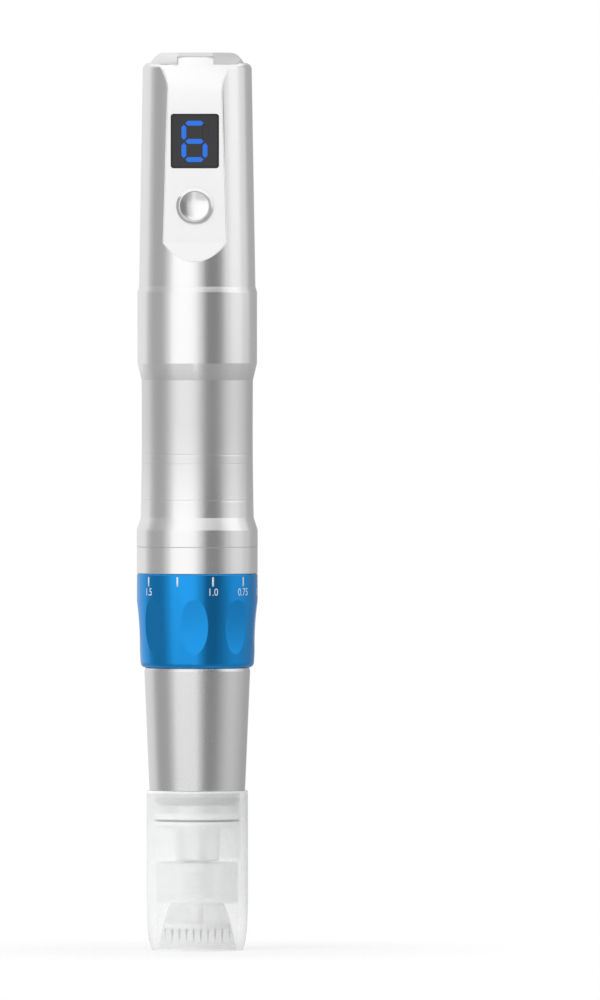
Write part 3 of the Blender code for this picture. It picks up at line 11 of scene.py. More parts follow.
import bmesh
import bpy
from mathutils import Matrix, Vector


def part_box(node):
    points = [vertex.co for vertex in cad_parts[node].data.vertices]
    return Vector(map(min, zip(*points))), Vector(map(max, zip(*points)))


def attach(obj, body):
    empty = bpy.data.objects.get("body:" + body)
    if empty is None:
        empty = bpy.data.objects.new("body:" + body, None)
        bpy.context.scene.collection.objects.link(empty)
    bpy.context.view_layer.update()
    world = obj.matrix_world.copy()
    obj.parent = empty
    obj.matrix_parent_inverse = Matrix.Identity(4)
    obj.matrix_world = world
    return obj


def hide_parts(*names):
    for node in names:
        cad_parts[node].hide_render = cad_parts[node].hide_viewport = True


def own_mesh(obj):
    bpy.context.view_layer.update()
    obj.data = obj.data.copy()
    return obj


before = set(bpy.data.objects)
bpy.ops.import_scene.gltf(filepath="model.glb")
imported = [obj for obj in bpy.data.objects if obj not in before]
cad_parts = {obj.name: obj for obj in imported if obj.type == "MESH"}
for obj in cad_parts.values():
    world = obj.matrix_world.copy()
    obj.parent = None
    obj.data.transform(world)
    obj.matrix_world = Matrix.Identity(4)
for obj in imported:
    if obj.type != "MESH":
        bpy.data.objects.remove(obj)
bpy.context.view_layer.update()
MM = 0.001
slot_of = {name: node.data.materials[0].name for name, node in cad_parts.items()}
for plain in list(bpy.data.materials):
    plain.name = "plain_" + plain.name

# %% [markdown]
# The photograph was taken with a long lens from almost the pen's own height, a little to its right.
# A camera four metres away does the same: round edges look nearly straight, as they do there.
# It aims beside the pen, because the pen stands left of the middle of the picture.

# %% Camera
VIEW_AZIMUTH, VIEW_ELEVATION = math.radians(2.6), math.radians(0.7)
VIEW_DISTANCE, PICTURE_HEIGHT = 4.0, 0.1984
SENSOR = 36.0
AIM_HEIGHT, AIM_BESIDE = 89.3 * MM, 20.38 * MM

sight = Vector((
    math.sin(VIEW_AZIMUTH) * math.cos(VIEW_ELEVATION),
    -math.cos(VIEW_AZIMUTH) * math.cos(VIEW_ELEVATION),
    math.sin(VIEW_ELEVATION),
))
beside = Vector((math.cos(VIEW_AZIMUTH), math.sin(VIEW_AZIMUTH), 0))
aim = beside * AIM_BESIDE + Vector((0, 0, AIM_HEIGHT))
facing = (-sight).to_track_quat("-Z", "Y").to_euler()
bpy.ops.object.camera_add(location=aim + sight * VIEW_DISTANCE, rotation=facing)
camera = bpy.context.object
camera.data.sensor_fit = "VERTICAL"
camera.data.sensor_width = SENSOR
camera.data.sensor_height = SENSOR
camera.data.lens = SENSOR * VIEW_DISTANCE / PICTURE_HEIGHT
camera.data.clip_end = 20
bpy.context.scene.camera = camera
bpy.context.scene.view_settings.view_transform = "Standard"
print("lens in mm", round(camera.data.lens))

# %% [markdown]
# The studio is white all round. The world is white for the camera, mirrors and glass, and a plain grey for
# the soft light that falls on matt surfaces. Four wide lamps add soft shading. Mirrors and glass don't see
# the lamps, so that they leave no square highlights on the pen.

# %% Light
WORLD_SOFT_LIGHT = 0.62
LAMPS = (  # name, azimuth, elevation, distance, width, height, power
    ("key_lamp", -44, 34, 0.85, 0.55, 0.75, 3.4),
    ("fill_lamp", 64, 25, 1.1, 0.6, 0.8, 0.3),
    ("back_lamp", 190, 35, 1.1, 0.7, 0.7, 2.2),
    ("left_lamp", -88, 5, 0.8, 0.3, 0.6, 0.4),
)


def grey(level):
    """A grey as a colour with full alpha."""
    return (level, level, level, 1)


def empty_tree(owner):
    """Switches a material or a world to nodes and empties its tree."""
    owner.use_nodes = True
    owner.node_tree.nodes.clear()
    return owner.node_tree


def shader_nodes(tree, *kinds):
    """Adds nodes to a tree and returns them in the same order."""
    return [tree.nodes.new("ShaderNode" + kind) for kind in kinds]


def set_inputs(node, values):
    """Sets some of a node's inputs by their names."""
    for label, value in values.items():
        node.inputs[label].default_value = value


def link(tree, *pairs):
    """Links outputs to inputs, pair by pair."""
    for output, socket in pairs:
        tree.links.new(output, socket)


def seen_rays(tree):
    """1 for what is seen directly, in a mirror or through glass, otherwise 0."""
    paths, direct, mask = shader_nodes(tree, "LightPath", "Math", "Math")
    direct.operation = mask.operation = "MAXIMUM"
    link(
        tree,
        (paths.outputs["Is Camera Ray"], direct.inputs[0]),
        (paths.outputs["Is Glossy Ray"], direct.inputs[1]),
        (direct.outputs[0], mask.inputs[0]),
        (paths.outputs["Is Transmission Ray"], mask.inputs[1]),
    )
    return mask.outputs[0]


def height_range(tree, values):
    """A value that follows the height on the piece, from a Map Range node."""
    place, split, spread = shader_nodes(tree, "TexCoord", "SeparateXYZ", "MapRange")
    set_inputs(spread, values)
    link(tree, (place.outputs["Object"], split.inputs[0]), (split.outputs["Z"], spread.inputs["Value"]))
    return spread.outputs["Result"]


def hide_from(thing, *rays):
    """Keeps a lamp or a piece from being seen by some kinds of ray."""
    for ray in rays:
        setattr(thing, "visible_" + ray, False)


def round_the_pen(azimuth, distance, height):
    """A place at an angle from the front towards +X."""
    angle = math.radians(azimuth)
    return Vector((distance * math.sin(angle), -distance * math.cos(angle), height))


world = bpy.data.worlds.new("white_studio")
tree = empty_tree(world)
soft, white, mix, out = shader_nodes(tree, "Background", "Background", "MixShader", "OutputWorld")
set_inputs(soft, {"Color": grey(WORLD_SOFT_LIGHT)})
set_inputs(white, {"Color": grey(1)})
link(
    tree,
    (seen_rays(tree), mix.inputs[0]),
    (soft.outputs[0], mix.inputs[1]),
    (white.outputs[0], mix.inputs[2]),
    (mix.outputs[0], out.inputs[0]),
)
bpy.context.scene.world = world
for name, azimuth, elevation, distance, width, height, power in LAMPS:
    rise = math.radians(elevation)
    place = round_the_pen(azimuth, distance * math.cos(rise), AIM_HEIGHT + distance * math.sin(rise))
    turn = (place - Vector((0, 0, AIM_HEIGHT))).to_track_quat("Z", "Y").to_euler()
    bpy.ops.object.light_add(type="AREA", location=place, rotation=turn)
    lamp = bpy.context.object
    lamp.name = name
    lamp.data.shape = "RECTANGLE"
    lamp.data.size = width
    lamp.data.size_y = height
    lamp.data.energy = power
    hide_from(lamp, "camera", "glossy", "transmission")
print("lamps", len(LAMPS))

# %% [markdown]
# A board or half a section starts as one point, which is a small plane merged to its centre, and is pulled
# from place to place with extrude. All of it is done in edit mode, so each piece keeps the world's origin.

# %% Drawing by extruding
def edit(piece, mode):
    """Switches one piece into or out of edit mode."""
    bpy.context.view_layer.objects.active = piece
    bpy.ops.object.mode_set(mode=mode)


def pick_all():
    """Selects the whole mesh that is in edit mode."""
    bpy.ops.mesh.select_all(action="SELECT")


def pull(step):
    """Extrudes what is selected by a step."""
    bpy.ops.mesh.extrude_region_move(TRANSFORM_OT_translate={"value": step})


def edit_all(piece, operator, **settings):
    """Runs one operator on a whole mesh in edit mode, which leaves the piece's origin where it is."""
    edit(piece, "EDIT")
    pick_all()
    operator(**settings)
    edit(piece, "OBJECT")
    return piece


def shift(piece, step):
    """Moves a whole mesh."""
    return edit_all(piece, bpy.ops.transform.translate, value=step)


def draw_line(name, points):
    """Extrudes one vertex from point to point. The piece stays in edit mode."""
    points = [Vector(point) for point in points]
    bpy.ops.object.select_all(action="DESELECT")
    bpy.ops.mesh.primitive_plane_add(size=MM)
    piece = bpy.context.object
    piece.name = name
    piece.data.name = name
    edit(piece, "EDIT")
    pick_all()
    bpy.ops.mesh.merge(type="CENTER")
    bpy.ops.transform.translate(value=points[0])
    for here, there in zip(points, points[1:]):
        pull(there - here)
    return piece


def disc(name, radius, corners):
    """A flat disc at the origin."""
    bpy.ops.object.select_all(action="DESELECT")
    bpy.ops.mesh.primitive_circle_add(vertices=corners, radius=radius, fill_type="NGON", location=(0, 0, 0))
    bpy.context.object.name = name
    return bpy.context.object


# %% [markdown]
# The pen's metal has no colour of its own to speak of. What makes it read as metal is what it mirrors: a
# bright window of light in front on the left, with darker stripes on both sides of it. Product photographers
# make those stripes with grey boards that stand just outside the picture, and the same is done here.
# Only reflections see the boards. Each one goes on below the pen as a low board of a middle grey, for the
# slopes that look down, and a disc closes the ring of boards underneath. Three boards on the right are
# brighter above the ring than below it, because the sleeve is brighter there than the cone.

# %% Grey boards that the metal mirrors
BOARD_DISTANCE = 0.9
BOARD_FOOT, BOARD_TOP, LOW_BOARD_FOOT = -0.06, 0.66, -0.9
BOARDS = (  # name, azimuth, width in degrees, level
    ("left_edge_board", -104, 12, 0.50),
    ("left_board", -80, 36, 0.37),
    ("left_soft_board", -56, 12, 0.62),
    ("left_back_board", -142, 64, 0.80),
    ("window_board", -26, 44, 1.07),
    ("front_soft_board", 10, 12, 0.66),
    ("front_board", 31, 30, 0.20),
    ("front_far_board", 51, 10, 0.30),
    ("right_near_board", 63, 14, 0.46),
    ("right_board", 85, 30, 0.60),
    ("right_edge_board", 111, 22, 0.50),
    ("right_back_board", 144, 44, 0.40),
    ("back_board", 176, 20, 0.55),
)
BRIGHTER_ABOVE = {"right_near_board": 0.82, "right_board": 1.02, "right_edge_board": 0.74}
FADE_FOOT, FADE_TOP = 0.05, 0.17
LOW_LEVEL, LOW_SHARE = 0.24, 0.40
UNDER_LEVEL = 0.41


def plain_light(name, level, above=None):
    """A material that only glows, evenly or with another level above the ring."""
    material = bpy.data.materials.new(name)
    tree = empty_tree(material)
    glow, out = shader_nodes(tree, "Emission", "OutputMaterial")
    set_inputs(glow, {"Color": grey(level)})
    link(tree, (glow.outputs[0], out.inputs[0]))
    if above:
        fade = {"From Min": FADE_FOOT, "From Max": FADE_TOP, "To Min": 1, "To Max": above / level}
        link(tree, (height_range(tree, fade), glow.inputs["Strength"]))
    return material


def set_board(board, glow):
    """Lets only reflections see a board."""
    board.data.materials.append(glow)
    hide_from(board, "camera", "diffuse", "transmission", "shadow")
    print(board.name, "faces", len(board.data.polygons))


strips = [(*board, BOARD_FOOT, BOARD_TOP) for board in BOARDS]
for name, azimuth, width, level in BOARDS:
    strips.append(("low_" + name, azimuth, width, LOW_LEVEL + LOW_SHARE * level, LOW_BOARD_FOOT, BOARD_FOOT))
for name, azimuth, width, level, low, high in strips:
    board = draw_line(name, [round_the_pen(azimuth - width / 2, BOARD_DISTANCE, z) for z in (low, high)])
    pick_all()
    bpy.ops.mesh.spin(steps=max(2, width // 5), angle=-math.radians(width), center=(0, 0, 0), axis=(0, 0, 1))
    edit(board, "OBJECT")
    set_board(board, plain_light(name + "_glow", level, BRIGHTER_ABOVE.get(name)))
under = shift(disc("under_board", BOARD_DISTANCE, 48), (0, 0, LOW_BOARD_FOOT))
set_board(under, plain_light("under_board_glow", UNDER_LEVEL))

# %% [markdown]
# The floor is a pale disc. The camera sees it almost as a pane of clear glass over the white world, so it
# ends nowhere, yet close to the pen enough of its own shading is kept to show the pen's soft shadow.

# %% Floor
FLOOR_RADIUS = 3.0
FLOOR_LEVEL = 0.92
SHADE_KEPT = 0.40
SHADE_START, SHADE_REACH = 0.01, 0.075

floor = disc("pale_floor", FLOOR_RADIUS, 96)
material = bpy.data.materials.new("pale_floor")
tree = empty_tree(material)
matt, clear, mix, out = shader_nodes(tree, "BsdfDiffuse", "BsdfTransparent", "MixShader", "OutputMaterial")
place, span, keep, seen = shader_nodes(tree, "TexCoord", "VectorMath", "MapRange", "Math")
span.operation = "LENGTH"
seen.operation = "MULTIPLY"
keep.interpolation_type = "SMOOTHSTEP"
set_inputs(matt, {"Color": grey(FLOOR_LEVEL)})
set_inputs(keep, {"From Min": SHADE_START, "From Max": SHADE_REACH, "To Min": 1 - SHADE_KEPT, "To Max": 1})
link(
    tree,
    (place.outputs["Object"], span.inputs[0]),
    (span.outputs["Value"], keep.inputs["Value"]),
    (keep.outputs["Result"], seen.inputs[0]),
    (seen_rays(tree), seen.inputs[1]),
    (seen.outputs[0], mix.inputs[0]),
    (matt.outputs[0], mix.inputs[1]),
    (clear.outputs[0], mix.inputs[2]),
    (mix.outputs[0], out.inputs[0]),
)
floor.data.materials.append(material)
print("floor radius", FLOOR_RADIUS)

# %% [markdown]
# Every finish on the pen has a fine structure: rings left by the lathe, the grain of a blasted and anodised
# skin, and a slow change in sheen where a hand has held it. One node group makes all three from the place
# on the piece, and each material asks for its own share of them.

# %% One group for fine surface structure
GROUP_INPUTS = {
    "Rings": 1.0, "Grain": 1.0, "Smudge": 1.0,
    "Roughness": 0.3, "Roughness Spread": 0.05, "Shade Spread": 0.03,
}
grain = bpy.data.node_groups.new("fine_surface", "ShaderNodeTree")
for label, value in GROUP_INPUTS.items():
    socket = grain.interface.new_socket(label, in_out="INPUT", socket_type="NodeSocketFloat")
    socket.default_value = value
socket = grain.interface.new_socket("Colour", in_out="INPUT", socket_type="NodeSocketColor")
socket.default_value = grey(0.8)
for label, kind in (("Colour", "Color"), ("Roughness", "Float"), ("Height", "Float")):
    grain.interface.new_socket(label, in_out="OUTPUT", socket_type="NodeSocket" + kind)
source, result = [grain.nodes.new("NodeGroup" + kind) for kind in ("Input", "Output")]
(place,) = shader_nodes(grain, "TexCoord")


def noise(scale, detail):
    """A noise over object coordinates, with a scale along each axis in features a metre."""
    mapping, texture = shader_nodes(grain, "Mapping", "TexNoise")
    set_inputs(mapping, {"Scale": scale})
    set_inputs(texture, {"Scale": 1, "Detail": detail})
    link(grain, (place.outputs["Object"], mapping.inputs["Vector"]))
    link(grain, (mapping.outputs["Vector"], texture.inputs["Vector"]))
    return texture.outputs["Fac"]


def sum_of(a, b, operation="ADD"):
    """One Math node in the group, fed by sockets or numbers."""
    (step,) = shader_nodes(grain, "Math")
    step.operation = operation
    for socket, value in zip(step.inputs, (a, b)):
        if isinstance(value, (int, float)):
            socket.default_value = value
        else:
            grain.links.new(value, socket)
    return step.outputs[0]


def share_of(value, label):
    """A value times one of the group's inputs."""
    return sum_of(value, source.outputs[label], "MULTIPLY")


rings, fine, slow = [
    sum_of(noise(scale, detail), 0.5, "SUBTRACT")
    for scale, detail in (((18, 18, 2600), 1.0), ((5200, 5200, 5200), 2.0), ((70, 70, 45), 3.0))
]
height = sum_of(share_of(rings, "Rings"), share_of(fine, "Grain"))
uneven = sum_of(share_of(slow, "Smudge"), height)
(tint,) = shader_nodes(grain, "VectorMath")
tint.operation = "SCALE"
link(
    grain,
    (source.outputs["Colour"], tint.inputs[0]),
    (sum_of(1, share_of(uneven, "Shade Spread")), tint.inputs["Scale"]),
    (tint.outputs["Vector"], result.inputs["Colour"]),
    (sum_of(source.outputs["Roughness"], share_of(uneven, "Roughness Spread")), result.inputs["Roughness"]),
    (height, result.inputs["Height"]),
)
print("sockets", len(grain.interface.items_tree))

# %% [markdown]
# The sleeves are satin aluminium, blasted and clear anodised. The depth ring is aluminium dyed blue in its
# anodic skin, so it stays a metal, with the dye as the colour of its mirror. The panel and the cap are
# sprayed white. The cap's white is darker, which is painted shade for its cheeks beside the tongue. The
# cartridge is clear and frosted plastic. Each one is a Principled BSDF: what is even all over is set on its
# own sockets.

# %% Finishes
FINE_STRUCTURE = ("Rings", "Grain", "Smudge", "Roughness Spread", "Shade Spread")
METAL, LACQUER = {"Metallic": 1.0}, {"Coat Weight": 0.35, "Coat Roughness": 0.22}
FINISHES = (  # name, colour, roughness, shares of the fine structure, relief in mm, plain values
    ("satin_aluminium", (0.95, 0.95, 0.953), 0.25, (0.35, 0.8, 1, 0.03, 0.012), 0.0004, METAL),
    ("grip_aluminium_painted_shade", (0.95, 0.95, 0.953), 0.25, (0.35, 0.8, 1, 0.03, 0.012), 0.0004, METAL),
    ("cap_white_painted_shade", (0.70, 0.70, 0.705), 0.36, (0, 1, 1, 0.05, 0.015), 0.0008, LACQUER),
    ("pearl_white", (0.87, 0.87, 0.875), 0.36, (0, 1, 1, 0.05, 0.015), 0.0008, LACQUER),
    ("blue_anodised", (0.020, 0.345, 0.86), 0.25, (0.35, 0.8, 1, 0.03, 0.04), 0.0004, METAL),
    ("bright_metal", (0.93, 0.93, 0.935), 0.22, (0.3, 0.3, 1, 0.04, 0.02), 0.0003, METAL),
    ("clear_plastic", (0.97, 0.975, 0.98), 0.10, (0, 0.2, 1, 0.03, 0.01), 0.0005, {"IOR": 1.47}),
    ("clear_inside", (0.96, 0.965, 0.97), 0.20, (0, 0.2, 1, 0.03, 0.01), 0.0005, {"IOR": 1.47}),
    ("frosted_plastic", (0.71, 0.715, 0.72), 0.35, (0, 1, 1, 0.05, 0.02), 0.001, {"IOR": 1.4}),
    ("frosted_mouth", (0.68, 0.685, 0.69), 0.45, (0, 1, 1, 0.05, 0.02), 0.001, {"IOR": 1.4}),
    ("dished_metal", (0.95, 0.95, 0.955), 0.21, (0, 0.5, 1, 0.04, 0.02), 0.0003, METAL),
    ("black_rubber", (0.018, 0.018, 0.019), 0.55, (0, 1, 1, 0.10, 0.2), 0.004, {}),
    ("black_plastic", (0.010, 0.010, 0.011), 0.45, (0, 1, 1, 0.08, 0.15), 0.004, {}),
    ("display_dark", (0.015, 0.015, 0.018), 0.16, (0, 0.4, 1, 0.04, 0.2), 0.0005, {}),
    (
        "display_blue", (0.012, 0.065, 0.29), 0.35, (0, 1, 1, 0.05, 0.08), 0.001,
        {"Emission Strength": 1.0, "Specular IOR Level": 0.2},
    ),
    ("white_plastic", (0.84, 0.84, 0.83), 0.42, (0, 1, 1, 0.06, 0.03), 0.003, {}),
    ("board_green", (0.02, 0.15, 0.065), 0.45, (0, 1, 1, 0.08, 0.25), 0.004, {}),
    ("steel", (0.56, 0.565, 0.58), 0.26, (1, 0.6, 1, 0.06, 0.04), 0.001, METAL),
    ("bronze", (0.62, 0.42, 0.20), 0.34, (1, 1, 1, 0.06, 0.06), 0.002, METAL),
    ("cell_wrap", (0.09, 0.19, 0.44), 0.38, (0, 0.5, 1, 0.06, 0.06), 0.002, {}),
    ("lead_red", (0.52, 0.03, 0.03), 0.48, (0, 1, 1, 0.06, 0.08), 0.004, {}),
    ("print_white", (0.70, 0.75, 0.82), 0.5, (0, 1, 1, 0.05, 0.03), 0.001, {}),
    ("needle_steel", (0.74, 0.745, 0.76), 0.3, (0, 0.6, 1, 0.06, 0.04), 0.001, METAL),
)


def finish(name, colour, roughness, structure, relief, plain):
    """A Principled material with the group's structure. Plain values go on the shader's own sockets."""
    material = bpy.data.materials.new(name)
    material.use_nodes = True
    tree = material.node_tree
    shader = tree.nodes["Principled BSDF"]
    group, bump = shader_nodes(tree, "Group", "Bump")
    group.name = "fine_surface"
    group.node_tree = grain
    set_inputs(group, dict(zip(FINE_STRUCTURE, structure)))
    set_inputs(group, {"Roughness": roughness, "Colour": (*colour, 1)})
    set_inputs(bump, {"Distance": relief * MM})
    set_inputs(shader, plain)
    link(
        tree,
        (group.outputs["Height"], bump.inputs["Height"]),
        (bump.outputs["Normal"], shader.inputs["Normal"]),
        (group.outputs["Roughness"], shader.inputs["Roughness"]),
        (group.outputs["Colour"], shader.inputs["Base Color"]),
    )
    return material


finishes = {row[0]: finish(*row) for row in FINISHES}
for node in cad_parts.values():
    node.data.materials[0] = finishes[slot_of[node.name]]
print("finishes", len(finishes))

# %% [markdown]
# Some finishes change with the height on the pen. The nose cone and the body have a grip finish, which is
# rougher on the waist, where the fingers hold it. Its colour is darker on the cone and the waist, which is
# painted shade. The panel's white is lighter towards its top, which is painted light from above on its
# leaning arc. The cartridge is milky where its walls are thick and clear where a seal ring presses on the
# wall. Just above the inner partition the wall is clear, so the white world shows through as a painted
# highlight line. A clear tube also looks denser at its sides, where one looks along its wall.

# %% Finishes that change with height
GRIP_HEIGHTS = (55.5, 57.0, 86.0, 92.0, 98.0, 104.0, 113.0, 115.5)
GRIP_ROUGHNESS = (0.28, 0.25, 0.25, 0.29, 0.32, 0.34, 0.34, 0.25)
# Painted shade: the grip's colour is darker on the cone and the waist.
GRIP_PAINTED_SHADE = (0.85, 0.95, 0.95, 0.92, 0.87, 0.84, 0.84, 0.95)
BY_HEIGHT = (  # finish, input, height in mm of the whole ramp, and its stops as (height in mm, value)
    ("clear_plastic", "Alpha", 32.0, ((5.0, 0.12), (12.0, 0.30), (31.1, 0.30), (31.4, 0.75))),
    # Just above the partition the inner wall is clear, so the white world shows through as a painted
    # highlight line.
    ("clear_inside", "Alpha", 32.0, (
        (9.2, 0.05), (9.5, 0.26), (17.35, 0.28), (17.45, 0.0), (18.05, 0.0), (18.2, 0.42), (24.6, 0.48),
        (25.1, 0.84), (25.5, 0.84), (25.66, 0.08), (25.93, 0.08), (26.1, 0.84), (26.9, 0.84), (27.4, 0.50),
        (29.0, 0.44), (30.6, 0.50),
    )),
    ("frosted_plastic", "Alpha", 32.0, ((9.3, 0.03), (9.5, 0.42))),
    ("frosted_mouth", "Alpha", 32.0, ((0.5, 0.22), (4.4, 0.34), (8.4, 0.42), (9.3, 0.60))),
    ("grip_aluminium_painted_shade", "Roughness", 140.0, tuple(zip(GRIP_HEIGHTS, GRIP_ROUGHNESS))),
    ("grip_aluminium_painted_shade", "Colour", 140.0, tuple(zip(GRIP_HEIGHTS, GRIP_PAINTED_SHADE))),
    # Painted light: the panel's white is lighter towards the top, where its arc leans back towards light from
    # above.
    ("pearl_white", "Colour", 180.0, ((166.0, 0.87), (172.5, 0.945))),
)
WALL_DENSITY = 0.7
GLOW_TINT = (1.2, 1.73, 1.65)


def by_height(tree, span, stops):
    """A value for each height on the piece."""
    (ramp,) = shader_nodes(tree, "ValToRGB")
    ramp.name = "by_height"
    points = ramp.color_ramp.elements
    while len(points) < len(stops):
        points.new(1.0)
    for point, (height, value) in zip(points, stops):
        point.position = height / span
        point.color = grey(value)
    link(tree, (height_range(tree, {"From Max": span * MM}), ramp.inputs[0]))
    return ramp.outputs["Color"]


def deepen_edge(tree, share):
    """Alpha grows with the slant at which one looks at the wall."""
    slant, square, part, total = shader_nodes(tree, "LayerWeight", "Math", "Math", "Math")
    square.operation, part.operation, total.operation = "POWER", "MULTIPLY", "ADD"
    square.inputs[1].default_value = 2
    part.inputs[1].default_value = share
    total.use_clamp = True
    link(
        tree,
        (slant.outputs["Facing"], square.inputs[0]),
        (square.outputs[0], part.inputs[0]),
        (part.outputs[0], total.inputs[0]),
        (tree.nodes["by_height"].outputs["Color"], total.inputs[1]),
        (total.outputs[0], tree.nodes["Principled BSDF"].inputs["Alpha"]),
    )


for name, label, span, stops in BY_HEIGHT:
    tree = finishes[name].node_tree
    node = tree.nodes["Principled BSDF" if label == "Alpha" else "fine_surface"]
    link(tree, (by_height(tree, span, stops), node.inputs[label]))
deepen_edge(finishes["clear_plastic"].node_tree, WALL_DENSITY)
tree = finishes["display_blue"].node_tree
(tint,) = shader_nodes(tree, "VectorMath")
tint.operation = "MULTIPLY"
tint.inputs[1].default_value = GLOW_TINT
link(
    tree,
    (tree.nodes["fine_surface"].outputs["Colour"], tint.inputs[0]),
    (tint.outputs[0], tree.nodes["Principled BSDF"].inputs["Emission Color"]),
)
print("ramps by height", len(BY_HEIGHT))

# %% [markdown]
# Most of the pen is turned on a lathe, and so are its pieces here: half a section is drawn point by point
# with extrude, closed, and spun once round the axis. Doubles are merged and the faces turned outwards.

# %% Turning
SMOOTH_BELOW = math.radians(24)
TOUCHING = 1e-7


def select_only(piece):
    """Selects one piece and nothing else, and makes it active."""
    bpy.ops.object.select_all(action="DESELECT")
    piece.select_set(True)
    bpy.context.view_layer.objects.active = piece


def pick(piece, test, kind="verts"):
    """Selects the vertices or faces in edit mode whose middle passes a test."""
    shape = bmesh.from_edit_mesh(piece.data)
    for part in (*shape.verts, *shape.edges, *shape.faces):
        part.select = False
    count = 0
    for part in getattr(shape, kind):
        if test(part.calc_center_median() if kind == "faces" else part.co):
            part.select_set(True)
            count += 1
    shape.select_flush_mode()
    bmesh.update_edit_mesh(piece.data)
    return count


def pick_points(piece, places, reach=TOUCHING):
    """Selects the vertices that lie at some places."""
    pick(piece, lambda point: min((point - place).length for place in places) < reach)


def smooth_below(piece, angle):
    """Smooth shading across the edges that turn by less than an angle."""
    select_only(piece)
    bpy.ops.object.shade_smooth_by_angle(angle=angle, keep_sharp_edges=False)


def leave(piece, smooth=SMOOTH_BELOW):
    """Merges doubles, turns the faces outwards and leaves edit mode with smooth shading below an angle."""
    pick_all()
    bpy.ops.mesh.remove_doubles(threshold=TOUCHING)
    bpy.ops.mesh.normals_make_consistent(inside=False)
    edit(piece, "OBJECT")
    smooth_below(piece, smooth)
    return piece


def closed_line(name, points):
    """Draws a line and closes it with an edge from its last point to its first."""
    piece = draw_line(name, points)
    pick_points(piece, (points[0], points[-1]))
    bpy.ops.mesh.edge_face_add()
    return piece


def upright_section(outline):
    """Points for a section of (radius, height) in mm."""
    return [Vector((radius, 0, height)) * MM for radius, height in outline]


def turned(name, outline, facets=128, smooth=SMOOTH_BELOW, on_front=None):
    """Spins a section in mm: (radius, height) about Z, or (radius, out) about a place on the front."""
    if on_front is None:
        points = upright_section(outline)
        axis, centre = (0, 0, 1), (0, 0, 0)
    else:
        depth, height = on_front
        points = [Vector((radius, -depth - out, height)) * MM for radius, out in outline]
        axis, centre = (0, 1, 0), (0, 0, height * MM)
    piece = closed_line(name, points) if outline[0][0] > 0 else draw_line(name, points)
    pick_all()
    bpy.ops.mesh.spin(steps=facets, angle=math.tau, center=centre, axis=axis)
    return leave(piece, smooth)


print("smooth below in degrees", round(math.degrees(SMOOTH_BELOW)))

# %% [markdown]
# A bevel breaks the sharp corners, which is what catches a line of light on real metal. Cuts are made with
# booleans, as a milling cutter would make them. A finished piece rides on its body and hides the plain solid
# that it stands for.

# %% Softening, carving and settling
def apply_modifier(piece, kind, **settings):
    """Adds a modifier and applies it."""
    select_only(piece)
    step = piece.modifiers.new(kind.lower(), kind)
    for label, value in settings.items():
        setattr(step, label, value)
    bpy.ops.object.modifier_apply(modifier=step.name)
    return piece


def soften(piece, width, above=30):
    """Rounds the edges that turn by more than an angle, and merges the points where two bevels touch."""
    apply_modifier(
        piece, "BEVEL", width=width * MM, segments=2, limit_method="ANGLE", angle_limit=math.radians(above),
        use_clamp_overlap=True, harden_normals=False,
    )
    return edit_all(piece, bpy.ops.mesh.remove_doubles, threshold=2 * TOUCHING)


def carve(piece, tool, operation="DIFFERENCE"):
    """Cuts or joins another shape, which is then used up."""
    apply_modifier(piece, "BOOLEAN", object=tool, operation=operation, solver="EXACT")
    bpy.data.objects.remove(tool)
    return piece


def shade(piece, smooth=SMOOTH_BELOW):
    """Smooth shading below an angle, with large faces leading the small ones beside them."""
    smooth_below(piece, smooth)
    return apply_modifier(piece, "WEIGHTED_NORMAL", keep_sharp=True, weight=60)


def settle(piece, body, slot, *nodes, look=None):
    """Gives a piece the finish of its slot or of another look, puts it on its body and hides the nodes that
    it stands for.
    """
    piece.data.materials.clear()
    piece.data.materials.append(finishes[look or slot])
    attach(piece, body)
    if nodes:
        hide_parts(*nodes)
    piece.data.calc_loop_triangles()
    size = [round(side / MM, 2) for side in piece.dimensions]
    print(piece.name, "triangles", len(piece.data.loop_triangles), "size in mm", size)
    return piece


# %% [markdown]
# The cone between the ring and the cartridge is one turned piece. It widens by a millimetre towards the
# ring and ends in a narrow polished lip there.

# %% Nose cone
cone = turned("nose_cone", (
    (6.0, 31.75), (9.45, 31.75), (9.49, 31.79), (10.49, 55.35), (10.47, 55.55), (10.35, 56.03), (10.27, 56.1),
    (9.4, 56.1), (9.4, 49.5), (8.1, 49.5), (8.1, 33.4), (6.0, 33.4),
))
soften(cone, 0.04)
# The grip finish paints shade on the cone with a darker colour.
settle(shade(cone), "pen", "satin_aluminium", "front_cone", look="grip_aluminium_painted_shade")

# %% [markdown]
# The collar above the ring carries the index line. Fine chamfers part it from the body by a thin dark line.

# %% Index collar
collar = turned("collar_band", (
    (9.4, 74.76), (11.93, 74.76), (11.985, 74.82), (11.985, 79.97), (11.95, 80.01), (9.4, 80.01),
), 160)
soften(collar, 0.05)
settle(shade(collar), "pen", "satin_aluminium", "index_collar")

# %% [markdown]
# The body starts with a straight land, pulls in to a long waist for the fingers and swells again to the
# grip. The faint lines on the waist are shallow grooves left by the turning tool, so they are drawn into the
# section. The top edge of the body is a polished chamfer, which shines as a bright band.

# %% Main body
WAIST_FOOT, WAIST_TOP, WAIST_STEPS = 85.8, 113.1, 18
TOOL_MARKS, MARK_DEPTH, MARK_ROOM = (89.3, 96.5, 98.4), 0.02, 0.3
MARK_SECTION = ((-0.12, 0), (-0.03, MARK_DEPTH), (0.03, MARK_DEPTH), (0.12, 0))


def waist_radius(height):
    """Radius of the waist: a long shallow hollow with a slightly wider foot."""
    share = (height - WAIST_FOOT) / (WAIST_TOP - WAIST_FOOT)
    return 11.05 + 0.15 * (1 - share) ** 2 - 0.07 * math.sin(math.pi * share)


